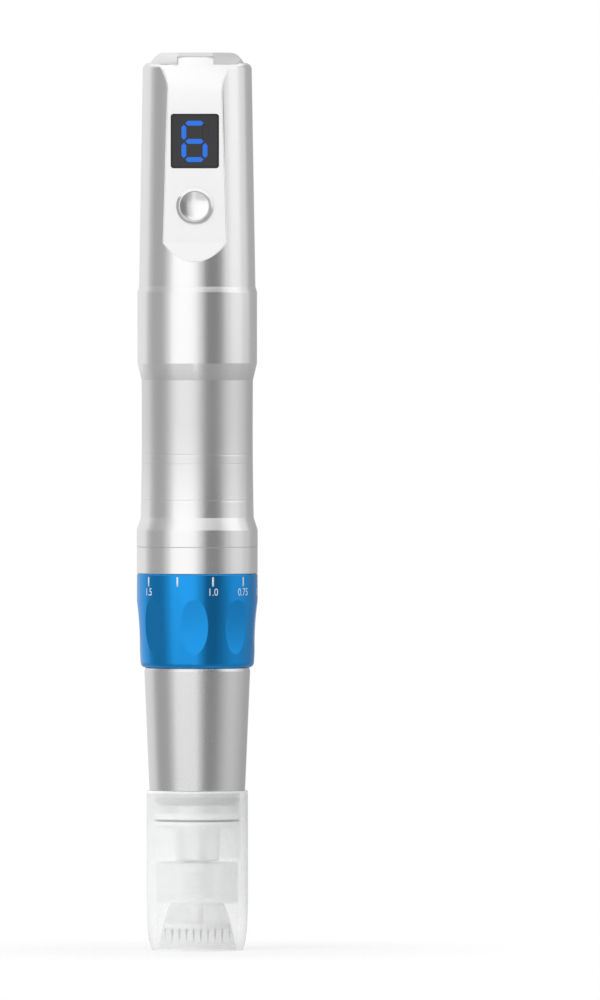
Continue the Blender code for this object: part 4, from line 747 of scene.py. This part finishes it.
heights = [WAIST_FOOT + (WAIST_TOP - WAIST_FOOT) * i / WAIST_STEPS for i in range(WAIST_STEPS + 1)]
waist = [(waist_radius(height), height) for height in heights]
for mark in TOOL_MARKS:
    waist = [point for point in waist if abs(point[1] - mark) > MARK_ROOM]
    waist += [(waist_radius(mark) - inset, mark + rise) for rise, inset in MARK_SECTION]
waist.sort(key=lambda point: point[1])
body = turned("grip_body", (
    (9.4, 80.04), (11.96, 80.04), (12.0, 80.08), (12.0, 83.35), (11.95, 83.55), (11.21, 85.85), *waist[1:],
    (11.8, 116.2), (11.87, 116.6), (11.87, 130.45), (11.855, 130.58), (11.57, 131.6), (11.545, 131.63),
    (11.4, 131.5), (9.4, 131.5),
), 160)
soften(body, 0.06)
# The grip finish paints shade on the waist with a darker colour.
settle(shade(body, math.radians(12)), "pen", "satin_aluminium", "main_body", look="grip_aluminium_painted_shade")

# %% [markdown]
# The front of the sleeve is milled flat from the cylinder. The flat starts with a run-out, a short slope
# that leaves a rounded tongue at its lower end, and towards the cap it leans back along a large arc. The
# panel lies in a shallow pocket of that flat, flush with it. So the panel, its pocket and the two cutters
# share one list of heights and one depth.

# %% Shape of the front
SLEEVE_FOOT, SLEEVE_TOP, SLEEVE_WIDE, SLEEVE_TAPER = 131.7, 175.6, 11.55, 0.75
RUNOUT_START, FLAT_START, ARC_START, STRIP_START = 136.485, 140.304, 169.981, 170.771
FLAT_DEPTH, ARC_RADIUS, ARC_STEPS = 9.45, 11.8, 12
PANEL_RIM, PANEL_TOP, STRIP_HALF, SIDE_LEAN = 0.16, 177.1, 3.4, 0.3
CAP_FOOT, CAP_TOP, CAP_WIDE, CAP_NARROW = 175.64, 178.0, 9.5, 6.8
TIP_START, TIP_ROUND, TIP_SHARES = 174.3, 1.3, (0.3, 0.5, 0.68, 0.82, 0.92, 0.975)
CHEEK_ROW = 176.35
BUTTON_Z, DISPLAY_Z = 147.592, 160.4545


def share_between(value, start, end):
    """How far a value lies between two others, from 0 to 1."""
    return min(max((value - start) / (end - start), 0), 1)


def sleeve_radius(height):
    """Outer radius of the sleeve, which narrows evenly."""
    return SLEEVE_WIDE - SLEEVE_TAPER * share_between(height, SLEEVE_FOOT, SLEEVE_TOP)


def front_depth(height):
    """How far the front lies from the axis: run-out, flat, then an arc that leans back."""
    if height < FLAT_START:
        share = (FLAT_START - height) / (FLAT_START - RUNOUT_START)
        return FLAT_DEPTH + share * (sleeve_radius(RUNOUT_START) - FLAT_DEPTH)
    rise = min(max(height - ARC_START, 0), ARC_RADIUS)
    return FLAT_DEPTH - ARC_RADIUS + math.sqrt(ARC_RADIUS**2 - rise**2)


def panel_half(height):
    """Half the panel's width: the flat less a rim, or the tongue that runs into the cap."""
    if height >= SLEEVE_TOP:
        return STRIP_HALF + PANEL_RIM
    chord = sleeve_radius(height) ** 2 - front_depth(height) ** 2
    turn = share_between(height, TIP_START, SLEEVE_TOP)
    tip = TIP_ROUND * (1 - math.sqrt(1 - turn**2))
    return max(math.sqrt(max(chord, 0)) - PANEL_RIM, PANEL_RIM) + tip


def side_lean(height):
    """How steeply the front falls away beside its middle strip."""
    return SIDE_LEAN * share_between(height, STRIP_START, SLEEVE_TOP) ** 2


def front_rows(top):
    """Heights of the rows, close together on the run-out and the arc."""
    runout = [RUNOUT_START + (0.02 + 0.98 * i / 10) * (FLAT_START - RUNOUT_START) for i in range(11)]
    arc = [ARC_START + (TIP_START - ARC_START) * i / ARC_STEPS for i in range(ARC_STEPS + 1)]
    tips = [TIP_START + (SLEEVE_TOP - TIP_START) * share for share in TIP_SHARES]
    return [z for z in runout + arc + tips + [SLEEVE_TOP, CHEEK_ROW, PANEL_TOP] if z < top] + [top]


print("panel half width in mm", [round(panel_half(z), 2) for z in (FLAT_START, BUTTON_Z, SLEEVE_TOP)])

# %% [markdown]
# A slab for the front is drawn as a line of four points across it, pulled up row by row, with each row moved
# to its depth and width, and pulled back at the end. Openings in the front are prisms, pulled out of it.

# %% Slabs and prisms
CUTTER_REACH = 14.0


def place_row(piece, here, there):
    """Moves the last row of points from where it is to where it belongs."""
    for at, goal in zip(here, there):
        if (goal - at).length > 1e-9:
            pick_points(piece, [at], 2 * TOUCHING)
            bpy.ops.transform.translate(value=goal - at)
    pick_points(piece, there, 2 * TOUCHING)


def front_slab(name, rows, half, depth, back, lean=side_lean):
    """A slab across the front. Its rows follow a depth and a half width by height, and it is pulled back."""
    lines = []
    for z in rows:
        wide = half(z)
        strip = min(STRIP_HALF, (wide + PANEL_RIM) / 2)
        near = -depth(z)
        side = near + lean(z) * (wide - strip)
        row = ((-wide, side), (-strip, near), (strip, near), (wide, side))
        lines.append([Vector((x, y, z)) * MM for x, y in row])
    piece = draw_line(name, lines[0])
    for low, high in zip(lines, lines[1:]):
        pick_points(piece, low, 2 * TOUCHING)
        step = Vector((0, 0, high[0].z - low[0].z))
        pull(step)
        place_row(piece, [at + step for at in low], high)
    pick_all()
    pull((0, back * MM, 0))
    return leave(piece)


def prism(name, outline, step):
    """An outline in metres that is filled and pulled by a step."""
    piece = draw_line(name, outline)
    pick_all()
    bpy.ops.mesh.edge_face_add()
    pull(step)
    return leave(piece)


def upright_block(name, outline, bottom, top):
    """A prism in mm: an outline of (x, y) pulled up from one height to another."""
    return prism(name, [Vector((x, y, bottom)) * MM for x, y in outline], Vector((0, 0, top - bottom)) * MM)


def front_block(name, outline, height, low=-3, high=2):
    """A prism in mm: an outline of (x, height) pulled out of the front, between two depths from the flat."""
    bottom, top = FLAT_DEPTH + low, FLAT_DEPTH + high
    points = [Vector((x, -bottom, height + y)) * MM for x, y in outline]
    return prism(name, points, Vector((0, bottom - top, 0)) * MM)


def rounded_box(half_x, half_y, corner, steps=6, centre=(0, 0)):
    """Points of a rectangle with round corners. A corner as large as the half height makes a slot."""
    points = []
    for quarter, (side_x, side_y) in enumerate(((1, 1), (-1, 1), (-1, -1), (1, -1))):
        for i in range(steps + 1):
            angle = math.pi / 2 * (quarter + i / steps)
            points.append((
                centre[0] + side_x * (half_x - corner) + corner * math.cos(angle),
                centre[1] + side_y * (half_y - corner) + corner * math.sin(angle),
            ))
    return points


def milled_front(name, rows, half, deeper, lean):
    """A cutter for all that lies in front of the front surface, or in front of one that lies deeper."""
    return front_slab(name, rows, half, lambda z: front_depth(z) - deeper, -CUTTER_REACH, lean)


print("rows of the panel", len(front_rows(PANEL_TOP)))

# %% [markdown]
# The sleeve is turned first and then milled, as the real one is: one cut for everything in front of the
# flat, and one for the pocket. A last small cut opens the rounded lip at the top for the panel's tongue.

# %% Rear sleeve
POCKET_DEPTH, POCKET_GAP = 1.5, 0.03


def always(value):
    """A width or a lean that is the same at every height."""
    return lambda height: value


def pocket_half(height):
    """Half the pocket's width, a fine gap wider than the panel."""
    return panel_half(min(max(height, RUNOUT_START + 0.08), SLEEVE_TOP - 0.01)) + POCKET_GAP


sleeve = turned("tail_sleeve", (
    (9.2, 131.53), (11.42, 131.53), (11.545, 131.63), (10.82, 174.75), (10.75, 175.15), (10.55, 175.52),
    (10.25, 175.8), (9.9, 175.95), (9.56, 175.97), (9.56, 175.62), (9.2, 175.62),
), 224)
across, upright = always(CUTTER_REACH), always(0)
arc_rows = [ARC_START + (CAP_TOP + 0.5 - ARC_START) * i / 24 for i in range(25)]
carve(sleeve, milled_front("flat_cut", [RUNOUT_START - 1.5, FLAT_START, *arc_rows], across, 0, upright))
rows = front_rows(SLEEVE_TOP)
pocket_rows = [rows[0] - POCKET_GAP, *rows[:-1], SLEEVE_TOP + 0.5]
carve(sleeve, milled_front("pocket_cut", pocket_rows, pocket_half, POCKET_DEPTH, upright))
lip = ((-8.9, 0.5), (-8.3, 0), (8.3, 0), (8.9, 0.5))
carve(sleeve, front_block("lip_cut", lip, SLEEVE_TOP + 0.03, -6.45, 4.55))
soften(sleeve, 0.12, 32)
settle(shade(sleeve), "pen", "satin_aluminium", "rear_sleeve")

# %% [markdown]
# The panel is a thin white moulding with two openings, for the display and for the button's bezel. Its long
# edges are broken a little, so a fine line of shadow shows where it meets the metal.

# %% Front panel
PANEL_THICK = 1.3
panel = front_slab("face_panel", front_rows(PANEL_TOP), panel_half, front_depth, PANEL_THICK)
carve(panel, front_block("window_cut", rounded_box(4.796, 5.4, 0.6), DISPLAY_Z))
carve(panel, front_block("button_cut", rounded_box(3.5, 3.5, 3.5, 24), BUTTON_Z))
soften(panel, 0.07, 40)
settle(shade(panel), "pen", "pearl_white", "front_panel")

# %% [markdown]
# The cap is a shallow dome, turned and then milled in front so that the panel's tongue runs up into it. The
# charging socket opens in its flat top.

# %% Top cap
DOME_STEPS, CHEEK_LEAN = 14, 0.8
SOCKET_MIDDLE, SOCKET_STEPS = (0, 1), 12


def cheek_lean(height):
    """The cap falls away beside the tongue, more and more towards its top."""
    return side_lean(height) + CHEEK_LEAN * math.sqrt(share_between(height, SLEEVE_TOP, PANEL_TOP))


dome = [
    (
        CAP_WIDE - (CAP_WIDE - CAP_NARROW) * i / DOME_STEPS,
        CAP_FOOT + (CAP_TOP - CAP_FOOT) * (1 - (1 - i / DOME_STEPS) ** 2),
    )
    for i in range(DOME_STEPS + 1)
]
cap = turned("end_cap", (
    (0, 175.0), (6.5, 175.0), (6.5, 171.6), (9.0, 171.6), (9.0, CAP_FOOT), *dome, (0, CAP_TOP),
), 192)
ledge_rows = [169.6, ARC_START, 171.0, 172.5, 174.0, 175.2, SLEEVE_TOP, 175.7, 175.9, 176.2, 176.6, PANEL_TOP]
carve(cap, milled_front("cap_front_cut", [*ledge_rows, CAP_TOP + 0.5], across, 0, cheek_lean))
tongue_half = always(STRIP_HALF + PANEL_RIM + 0.02)
tongue_rows = [169.6, 172, 174, SLEEVE_TOP, CHEEK_ROW, PANEL_TOP + 0.06]
carve(cap, milled_front("cap_pocket_cut", tongue_rows, tongue_half, POCKET_DEPTH, upright))
carve(cap, upright_block("socket_cut", rounded_box(4.65, 1.8, 1.8, SOCKET_STEPS, SOCKET_MIDDLE), 171, 179))
soften(cap, 0.04, 32)
# The cap's darker white is painted shade on its cheeks beside the tongue.
settle(shade(cap), "pen", "pearl_white", "top_cap", look="cap_white_painted_shade")

# %% [markdown]
# The charging socket is a bright metal sleeve, flat with round ends, with a black tongue for the contacts.

# %% Charging socket
outside = rounded_box(4.45, 1.6, 1.6, SOCKET_STEPS, SOCKET_MIDDLE)
inside = rounded_box(4.15, 1.3, 1.3, SOCKET_STEPS, SOCKET_MIDDLE)
socket_shell = upright_block("charge_shell", outside, 171.1, 177.7)
carve(socket_shell, upright_block("socket_hollow", inside, 171.7, 179))
soften(socket_shell, 0.06, 40)
settle(shade(socket_shell), "pen", "bright_metal", "charge_socket")
tongue = upright_block("charge_blade", rounded_box(3.3, 0.35, 0.12, 3, SOCKET_MIDDLE), 171.9, 176.3)
soften(tongue, 0.08, 40)
settle(shade(tongue), "pen", "black_plastic", "charge_tongue")

# %% [markdown]
# The button sits in a raised bezel and has a hollow for the fingertip. A hollow mirrors the light the other
# way round from a bulge: its upper left is dark and its lower right is bright.

# %% Bezel and button
BUTTON_PLACE, BUTTON_FACETS = (FLAT_DEPTH, BUTTON_Z), 96
DISH_WIDE, DISH_DEPTH, DISH_RIM, DISH_STEPS, DISH_POWER = 2.76, 0.43, -0.05, 12, 2.4
bezel = turned("button_rim", (
    (2.88, -1.0), (3.3, -1.0), (3.3, 0.04), (3.70, 0.04), (3.69, 0.09), (3.64, 0.14), (3.13, 0.49),
    (3.06, 0.525), (2.99, 0.53), (2.93, 0.505), (2.89, 0.45), (2.88, 0.36),
), BUTTON_FACETS, math.radians(30), BUTTON_PLACE)
settle(shade(bezel), "pen", "bright_metal", "button_bezel")
shares = [1 - i / DISH_STEPS for i in range(DISH_STEPS + 1)]
dish = [(DISH_WIDE * share, DISH_RIM + DISH_DEPTH * share**DISH_POWER) for share in shares]
button = turned("button_dish", (
    (0, -2.0), (1.0, -2.0), (1.0, -1.7), (3.2, -1.7), (3.2, -1.3), (2.8, -1.3), (2.84, -1.2), (2.84, 0.32),
    (2.82, 0.37), (2.79, 0.385), *dish,
), BUTTON_FACETS, on_front=BUTTON_PLACE)
settle(shade(button, math.radians(35)), "button", "bright_metal", "power_button", look="dished_metal")

# %% [markdown]
# Behind the window lies a smoked pane with seven slots. The bars of a light guide fill them, level with the
# pane. Six bars are lit and make the digit, and one stays dark.

# %% Display
DIGIT_HALF, DIGIT_ROW, BAR_WIDTH, UNLIT_WIDTH, BAR_GAP, BAR_SHORT = 2.1, 3.6, 0.95, 1.1, 0.02, 0.3
DIGIT_MIDDLE = (-0.09, -0.06)
BARS = {
    "top": (0, DIGIT_ROW, False), "middle": (0, 0, False), "bottom": (0, -DIGIT_ROW, False),
    "upper_left": (-DIGIT_HALF, DIGIT_ROW / 2, True), "lower_left": (-DIGIT_HALF, -DIGIT_ROW / 2, True),
    "lower_right": (DIGIT_HALF, -DIGIT_ROW / 2, True),
}


def bar_outline(x, y, upright, grow=0.0, width=BAR_WIDTH):
    """One bar of the digit round a point, with two pointed ends."""
    half = (DIGIT_ROW if upright else 2 * DIGIT_HALF) / 2 - BAR_SHORT + grow * math.sqrt(2)
    side = width / 2 + grow
    flank = half - side
    bar = ((-half, 0), (-flank, -side), (flank, -side), (half, 0), (flank, side), (-flank, side))
    return [(x - v, y + u) if upright else (x + u, y + v) for u, v in bar]


border = front_block("window_border", rounded_box(4.77, 5.37, 0.58), DISPLAY_Z, -1.05, -0.03)
carve(border, front_block("border_cut", rounded_box(4.50, 5.10, 0.42), DISPLAY_Z, -3, 1))
settle(shade(border), "pen", "black_plastic")
pane = front_block("smoked_pane", rounded_box(4.49, 5.09, 0.41), DISPLAY_Z, -1.05, -0.05)
bars = []
for name, (x, y, upended) in BARS.items():
    x, y = x + DIGIT_MIDDLE[0], y + DIGIT_MIDDLE[1]
    carve(pane, front_block("slot_" + name, bar_outline(x, y, upended, BAR_GAP), DISPLAY_Z, -3, 1))
    bar = front_block(name, bar_outline(x, y, upended), DISPLAY_Z, -1.3, -0.06)
    bars.append(soften(bar, 0.03, 40))
unlit = bar_outline(DIGIT_HALF, DIGIT_ROW / 2, True, BAR_GAP, UNLIT_WIDTH)
carve(pane, front_block("slot_upper_right", unlit, DISPLAY_Z, -3, 1))
soften(pane, 0.05, 40)
settle(shade(pane), "pen", "display_dark", "display_lens")
plate = front_block("digit_bars", rounded_box(3.2, 4.7, 0.3), DISPLAY_Z, -1.6, -1.2)
for bar in bars:
    carve(plate, bar, "UNION")
settle(shade(plate), "pen", "display_blue", "digit_light_guide")

# %% [markdown]
# The depth ring is what the hand turns. It is dyed blue, straight at the top for the scale and slightly
# tapered below, with eight hollows for the fingertips. Each hollow is a level cut with a large radius, so
# its outline on the round ring is a long oval. One cutter is drawn once and copied round.

# %% Depth ring
RING_WIDE, RING_FOOT_WIDE, TAPER_FOOT, TAPER_TOP = 11.985, 11.25, 56.6, 69.2
SCALLOP_Z, SCALLOP_HALF_HEIGHT, SCALLOP_HALF_WIDTH, SCALLOPS = 64.25, 5.55, 2.75, 8
RING_SMOOTH = math.radians(4)
CUTTER_HALF, CUTTER_OUT, CUTTER_SPARE, CUTTER_STEPS = 4.4, 14, 1.6, 24


def ring_radius(height):
    """Outer radius of the ring below its straight top."""
    return RING_WIDE + share_between(-height, -TAPER_TOP, -TAPER_FOOT) * (RING_FOOT_WIDE - RING_WIDE)


def copy_of(piece):
    """A copy with a mesh of its own."""
    select_only(piece)
    bpy.ops.object.duplicate()
    return bpy.context.object


def turn_round(piece, angle):
    """Turns a whole mesh about the pen's axis, clockwise seen from above."""
    return edit_all(piece, bpy.ops.transform.rotate, value=angle, orient_axis="Z", center_override=(0, 0, 0))


ring = turned("dial_ring", (
    (9.4, 56.16), (10.68, 56.16), (11.06, 56.48), (11.2, 56.78), (RING_FOOT_WIDE, 57.0),
    (RING_WIDE, TAPER_TOP), (RING_WIDE, 74.5), (11.85, 74.7), (9.4, 74.7),
), 224, RING_SMOOTH)
surface = ring_radius(SCALLOP_Z)
bite = surface - math.sqrt(surface**2 - SCALLOP_HALF_WIDTH**2)
sweep = (SCALLOP_HALF_HEIGHT**2 + bite**2) / (2 * bite)
slope = (ring_radius(SCALLOP_Z + 5) - ring_radius(SCALLOP_Z - 5)) / 10
reach = math.asin((SCALLOP_HALF_HEIGHT + CUTTER_SPARE) / sweep)
arc = []
for i in range(2 * CUTTER_STEPS + 1):
    angle = reach * (i / CUTTER_STEPS - 1)
    rise = sweep * math.sin(angle)
    arc.append((surface - bite + sweep * (1 - math.cos(angle)) + slope * rise, SCALLOP_Z + rise))
outline = [(CUTTER_OUT, arc[0][1]), *arc, (CUTTER_OUT, arc[-1][1])]
points = [Vector((-CUTTER_HALF, -radius, height)) * MM for radius, height in outline]
scallop = prism("scallop_cut", points, (2 * CUTTER_HALF * MM, 0, 0))
for i in range(SCALLOPS):
    carve(ring, turn_round(copy_of(scallop), math.tau * i / SCALLOPS))
bpy.data.objects.remove(scallop)
settle(shade(ring, RING_SMOOTH), "ring", "blue_anodised", "depth_ring")
print("hollow depth in mm", round(bite, 3), "radius", round(sweep, 1))

# %% [markdown]
# The scale is printed in white on the ring's straight top: a tick for every quarter of a millimetre and a
# number at most of them. Ticks and numbers are thin plates that follow the round surface. The numbers start
# as text, become a mesh, are laid on the ring by a shrinkwrap and get their thickness last.

# %% Scale on the ring
SCALE_START, SCALE_STEP = 155.2, 34.3
SCALE_LABELS = ("0", "0.25", "0.5", "0.75", "1.0", "", "1.5", "", "2.0", "", "2.5")
SCALE = [(SCALE_START - SCALE_STEP * i, label) for i, label in enumerate(SCALE_LABELS)]
PRINT_LIFT = 0.012
LABEL_SIZE, LABEL_NARROW, LABEL_FOOT, LABEL_OUT = 2.08, 0.88, 70.5, 0.3


def curved_plate(name, low, high, half_width, angle):
    """A small plate that follows the ring's surface, at an angle from the front towards +X."""
    radius = RING_WIDE + PRINT_LIFT
    middle = math.radians(angle)
    spread = half_width / radius
    start = Vector((radius * math.sin(middle - spread), -radius * math.cos(middle - spread), low)) * MM
    plate = draw_line(name, [start, start + Vector((0, 0, high - low)) * MM])
    pick_all()
    bpy.ops.mesh.spin(steps=3, angle=-2 * spread, center=(0, 0, 0), axis=(0, 0, 1))
    leave(plate)
    return apply_modifier(plate, "SOLIDIFY", thickness=0.1 * MM, offset=-1)


def join_all(name, group):
    """Joins pieces into the first one."""
    bpy.ops.object.select_all(action="DESELECT")
    for piece in group:
        piece.select_set(True)
    bpy.context.view_layer.objects.active = group[0]
    bpy.ops.object.join()
    group[0].name = name
    group[0].data.name = name
    return group[0]


def round_label(label, angle):
    """A number on the ring's surface."""
    bpy.ops.object.select_all(action="DESELECT")
    bpy.ops.object.text_add(location=(0, 0, 0))
    text = bpy.context.object
    text.data.body = label
    text.data.size = LABEL_SIZE * MM
    text.data.align_x = "CENTER"
    text.data.fill_mode = "BOTH"
    text.data.resolution_u = 4
    bpy.ops.object.convert(target="MESH")
    text = bpy.context.object
    text.scale = (LABEL_NARROW, 1, 1)
    text.rotation_euler = (math.pi / 2, 0, 0)
    text.location = (0, -(RING_WIDE + LABEL_OUT) * MM, LABEL_FOOT * MM)
    bpy.ops.object.transform_apply(location=True, rotation=True, scale=True)
    turn_round(text, -math.radians(angle))
    wrap = {"wrap_method": "NEAREST_SURFACEPOINT", "wrap_mode": "ABOVE_SURFACE", "offset": PRINT_LIFT * MM}
    return apply_modifier(text, "SHRINKWRAP", target=ring, **wrap)


ticks = join_all("scale_ticks", [curved_plate("tick", 72.32, 74.16, 0.19, angle) for angle, label in SCALE])
settle(ticks, "ring", "white_plastic", look="print_white")
labels = join_all("scale_numbers", [round_label(label, angle) for angle, label in SCALE if label])
apply_modifier(labels, "SOLIDIFY", thickness=0.06 * MM, offset=-1)
settle(labels, "ring", "white_plastic", look="print_white")
index_line = curved_plate("index_line", 75.1, 76.5, 0.2, SCALE_START)
settle(index_line, "pen", "black_plastic")

# %% [markdown]
# The cartridge is moulded in clear plastic. Through its wall one sees the pen's metal neck with two black
# seal rings above, and a frosted core below whose mouth flares open round the needles. The inside of the
# wall has a finish of its own, because that is where it is milky.

# %% Clear shell
CLEAR_SMOOTH = math.radians(20)


def second_finish(piece, slot, radius, low, high):
    """Gives the faces within a radius and between two heights another finish. The piece casts no shadow."""
    piece.data.materials.append(finishes[slot])
    edit(piece, "EDIT")
    faces = pick(piece, lambda at: at.xy.length < radius * MM and low * MM < at.z < high * MM, "faces")
    piece.active_material_index = 1
    bpy.ops.object.material_slot_assign()
    edit(piece, "OBJECT")
    hide_from(piece, "shadow", "diffuse")
    print(slot, "faces", faces)


shell = turned("clear_shell", (
    (8.2, 0.0), (8.86, 0.0), (8.98, 0.08), (9.25, 0.8), (9.6, 2.0), (9.8, 3.5), (9.91, 5.0), (10.0, 7.5),
    (10.046, 10.0), (10.046, 31.5), (9.9, 31.7), (8.546, 31.7), (8.546, 17.75), (2.8, 17.75), (2.8, 17.45),
    (8.2, 17.45),
), 160, CLEAR_SMOOTH)
soften(shell, 0.05, 35)
settle(shade(shell, CLEAR_SMOOTH), "cartridge", "clear_plastic", "cartridge_shell")
second_finish(shell, "clear_inside", 8.58, 0.1, 40)

# %% [markdown]
# The core is frosted outside, and its mouth, which flares open below, has a rougher finish.

# %% Frosted core
core = turned("frosted_core", (
    (7.7, 0.0), (7.996, 0.0), (7.996, 17.35), (3.2, 17.35), (3.2, 10.4), (1.5, 10.4), (1.5, 9.4), (4.9, 9.4),
    (5.2, 9.3), (5.75, 8.3), (6.3, 6.6), (6.85, 4.6), (7.3, 2.4),
), 128, CLEAR_SMOOTH)
settle(shade(core, CLEAR_SMOOTH), "cartridge", "frosted_plastic", "cartridge_core")
second_finish(core, "frosted_mouth", 7.75, -1, 9.5)

# %% [markdown]
# Thirty-six fine needles stand in a plate on the end of a plastic stem. One needle is drawn, with a long
# ground point, and copied over the grid.

# %% Needles and stem
NEEDLE_PITCH, NEEDLE_ROWS, NEEDLE_TIP_Z, NEEDLE_BACK = 1.42, (4, 5, 5, 4), 1.2, 4.9
disc_plate = turned("needle_disc", (
    (0, 4.4), (6.56, 4.4), (6.62, 4.47), (6.45, 5.3), (6.35, 5.4), (0, 5.4),
), 96)
settle(disc_plate, "needle_head", "white_plastic", "needle_plate")
needle = turned("needle", (
    (0, NEEDLE_TIP_Z), (0.015, 2.1), (0.04, 2.8), (0.08, 3.5), (0.10, 4.1),
    (0.10, NEEDLE_BACK), (0, NEEDLE_BACK),
), 16)
field = []
for row, pairs in enumerate(NEEDLE_ROWS):
    for column in range(-pairs, pairs):
        step = Vector(((column + 0.5) * NEEDLE_PITCH, (row - 1.5) * NEEDLE_PITCH, 0)) * MM
        field.append(shift(copy_of(needle), step))
bpy.data.objects.remove(needle)
print("needles", len(field))
settle(join_all("needle_field", field), "needle_head", "steel", look="needle_steel")
stem = turned("needle_rod", (
    (0, 5.6), (1.2, 5.6), (1.2, 15.65), (2.3, 15.65), (2.4, 15.75), (2.4, 16.15), (2.3, 16.25), (2.2, 16.25),
    (2.2, 19.25), (2.0, 19.45), (0, 19.45),
), 64)
settle(shade(stem), "needle_head", "white_plastic", "needle_stem")

# %% [markdown]
# The neck is turned in one piece with its nozzle. Two grooves hold the seal rings, which are plain rubber
# rings of round section.

# %% Neck, nozzle and seal rings
SEALS = {"upper": 29.65, "lower": 26.0}
SEAL_RADIUS, SEAL_WIRE, SEAL_FACETS = 7.696, 0.65, 20
NECK, GROOVE_FLOOR, GROOVE_HALF = 8.146, 6.85, 0.85


def wire_section(radius, height, wire, facets):
    """A round section in mm as (radius, height)."""
    angles = [math.tau * i / facets for i in range(facets)]
    return [(radius + wire * math.cos(angle), height + wire * math.sin(angle)) for angle in angles]


grooves = []
for height in SEALS.values():
    top, bottom = height + GROOVE_HALF, height - GROOVE_HALF
    grooves += [(NECK, top), (GROOVE_FLOOR, top), (GROOVE_FLOOR, bottom), (NECK, bottom)]
neck = turned("nose_neck", (
    (4.8, 33.4), (5.8, 33.4), (5.8, 31.7), (NECK, 31.7), *grooves, (NECK, 24.4), (7.95, 24.2), (4.7, 24.2),
    (4.35, 17.95), (4.15, 17.75), (2.6, 17.75), (2.6, 25.8), (4.8, 25.8),
))
soften(neck, 0.07)
settle(shade(neck), "pen", "satin_aluminium", "cartridge_seat")
for side, height in SEALS.items():
    seal = turned(side + "_rubber_ring", wire_section(SEAL_RADIUS, height, SEAL_WIRE, SEAL_FACETS))
    settle(seal, "pen", "black_rubber", side + "_seal_ring")

# %% [markdown]
# Two return springs lie inside, one under the collar of the needle stem and one under the plunger's disc.
# Each is a wire section that is screwed up its axis. The coil rides on the piece that presses on its head.

# %% Return springs
SPRINGS = (("needle", "needle_head", 2.0, 0.13, 4), ("plunger", "plunger", 3.2, 0.25, 5))
WIRE_FACETS, TURN_STEPS = 12, 32
for name, body_name, radius, wire, turns in SPRINGS:
    low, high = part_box(name + "_spring")
    section = wire_section(radius, low.z / MM + wire, wire, WIRE_FACETS)
    coil = closed_line(name + "_coil", upright_section(section))
    edit(coil, "OBJECT")
    pitch = (high.z - low.z - 2 * wire * MM) / turns
    screw = {"screw_offset": pitch, "iterations": turns, "steps": TURN_STEPS, "render_steps": TURN_STEPS}
    apply_modifier(coil, "SCREW", axis="Z", angle=math.tau, **screw)
    edit(coil, "EDIT")
    pick_all()
    bpy.ops.mesh.fill_holes(sides=0)
    leave(coil, math.radians(40))
    settle(coil, body_name, "steel", name + "_spring")
    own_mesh(coil)
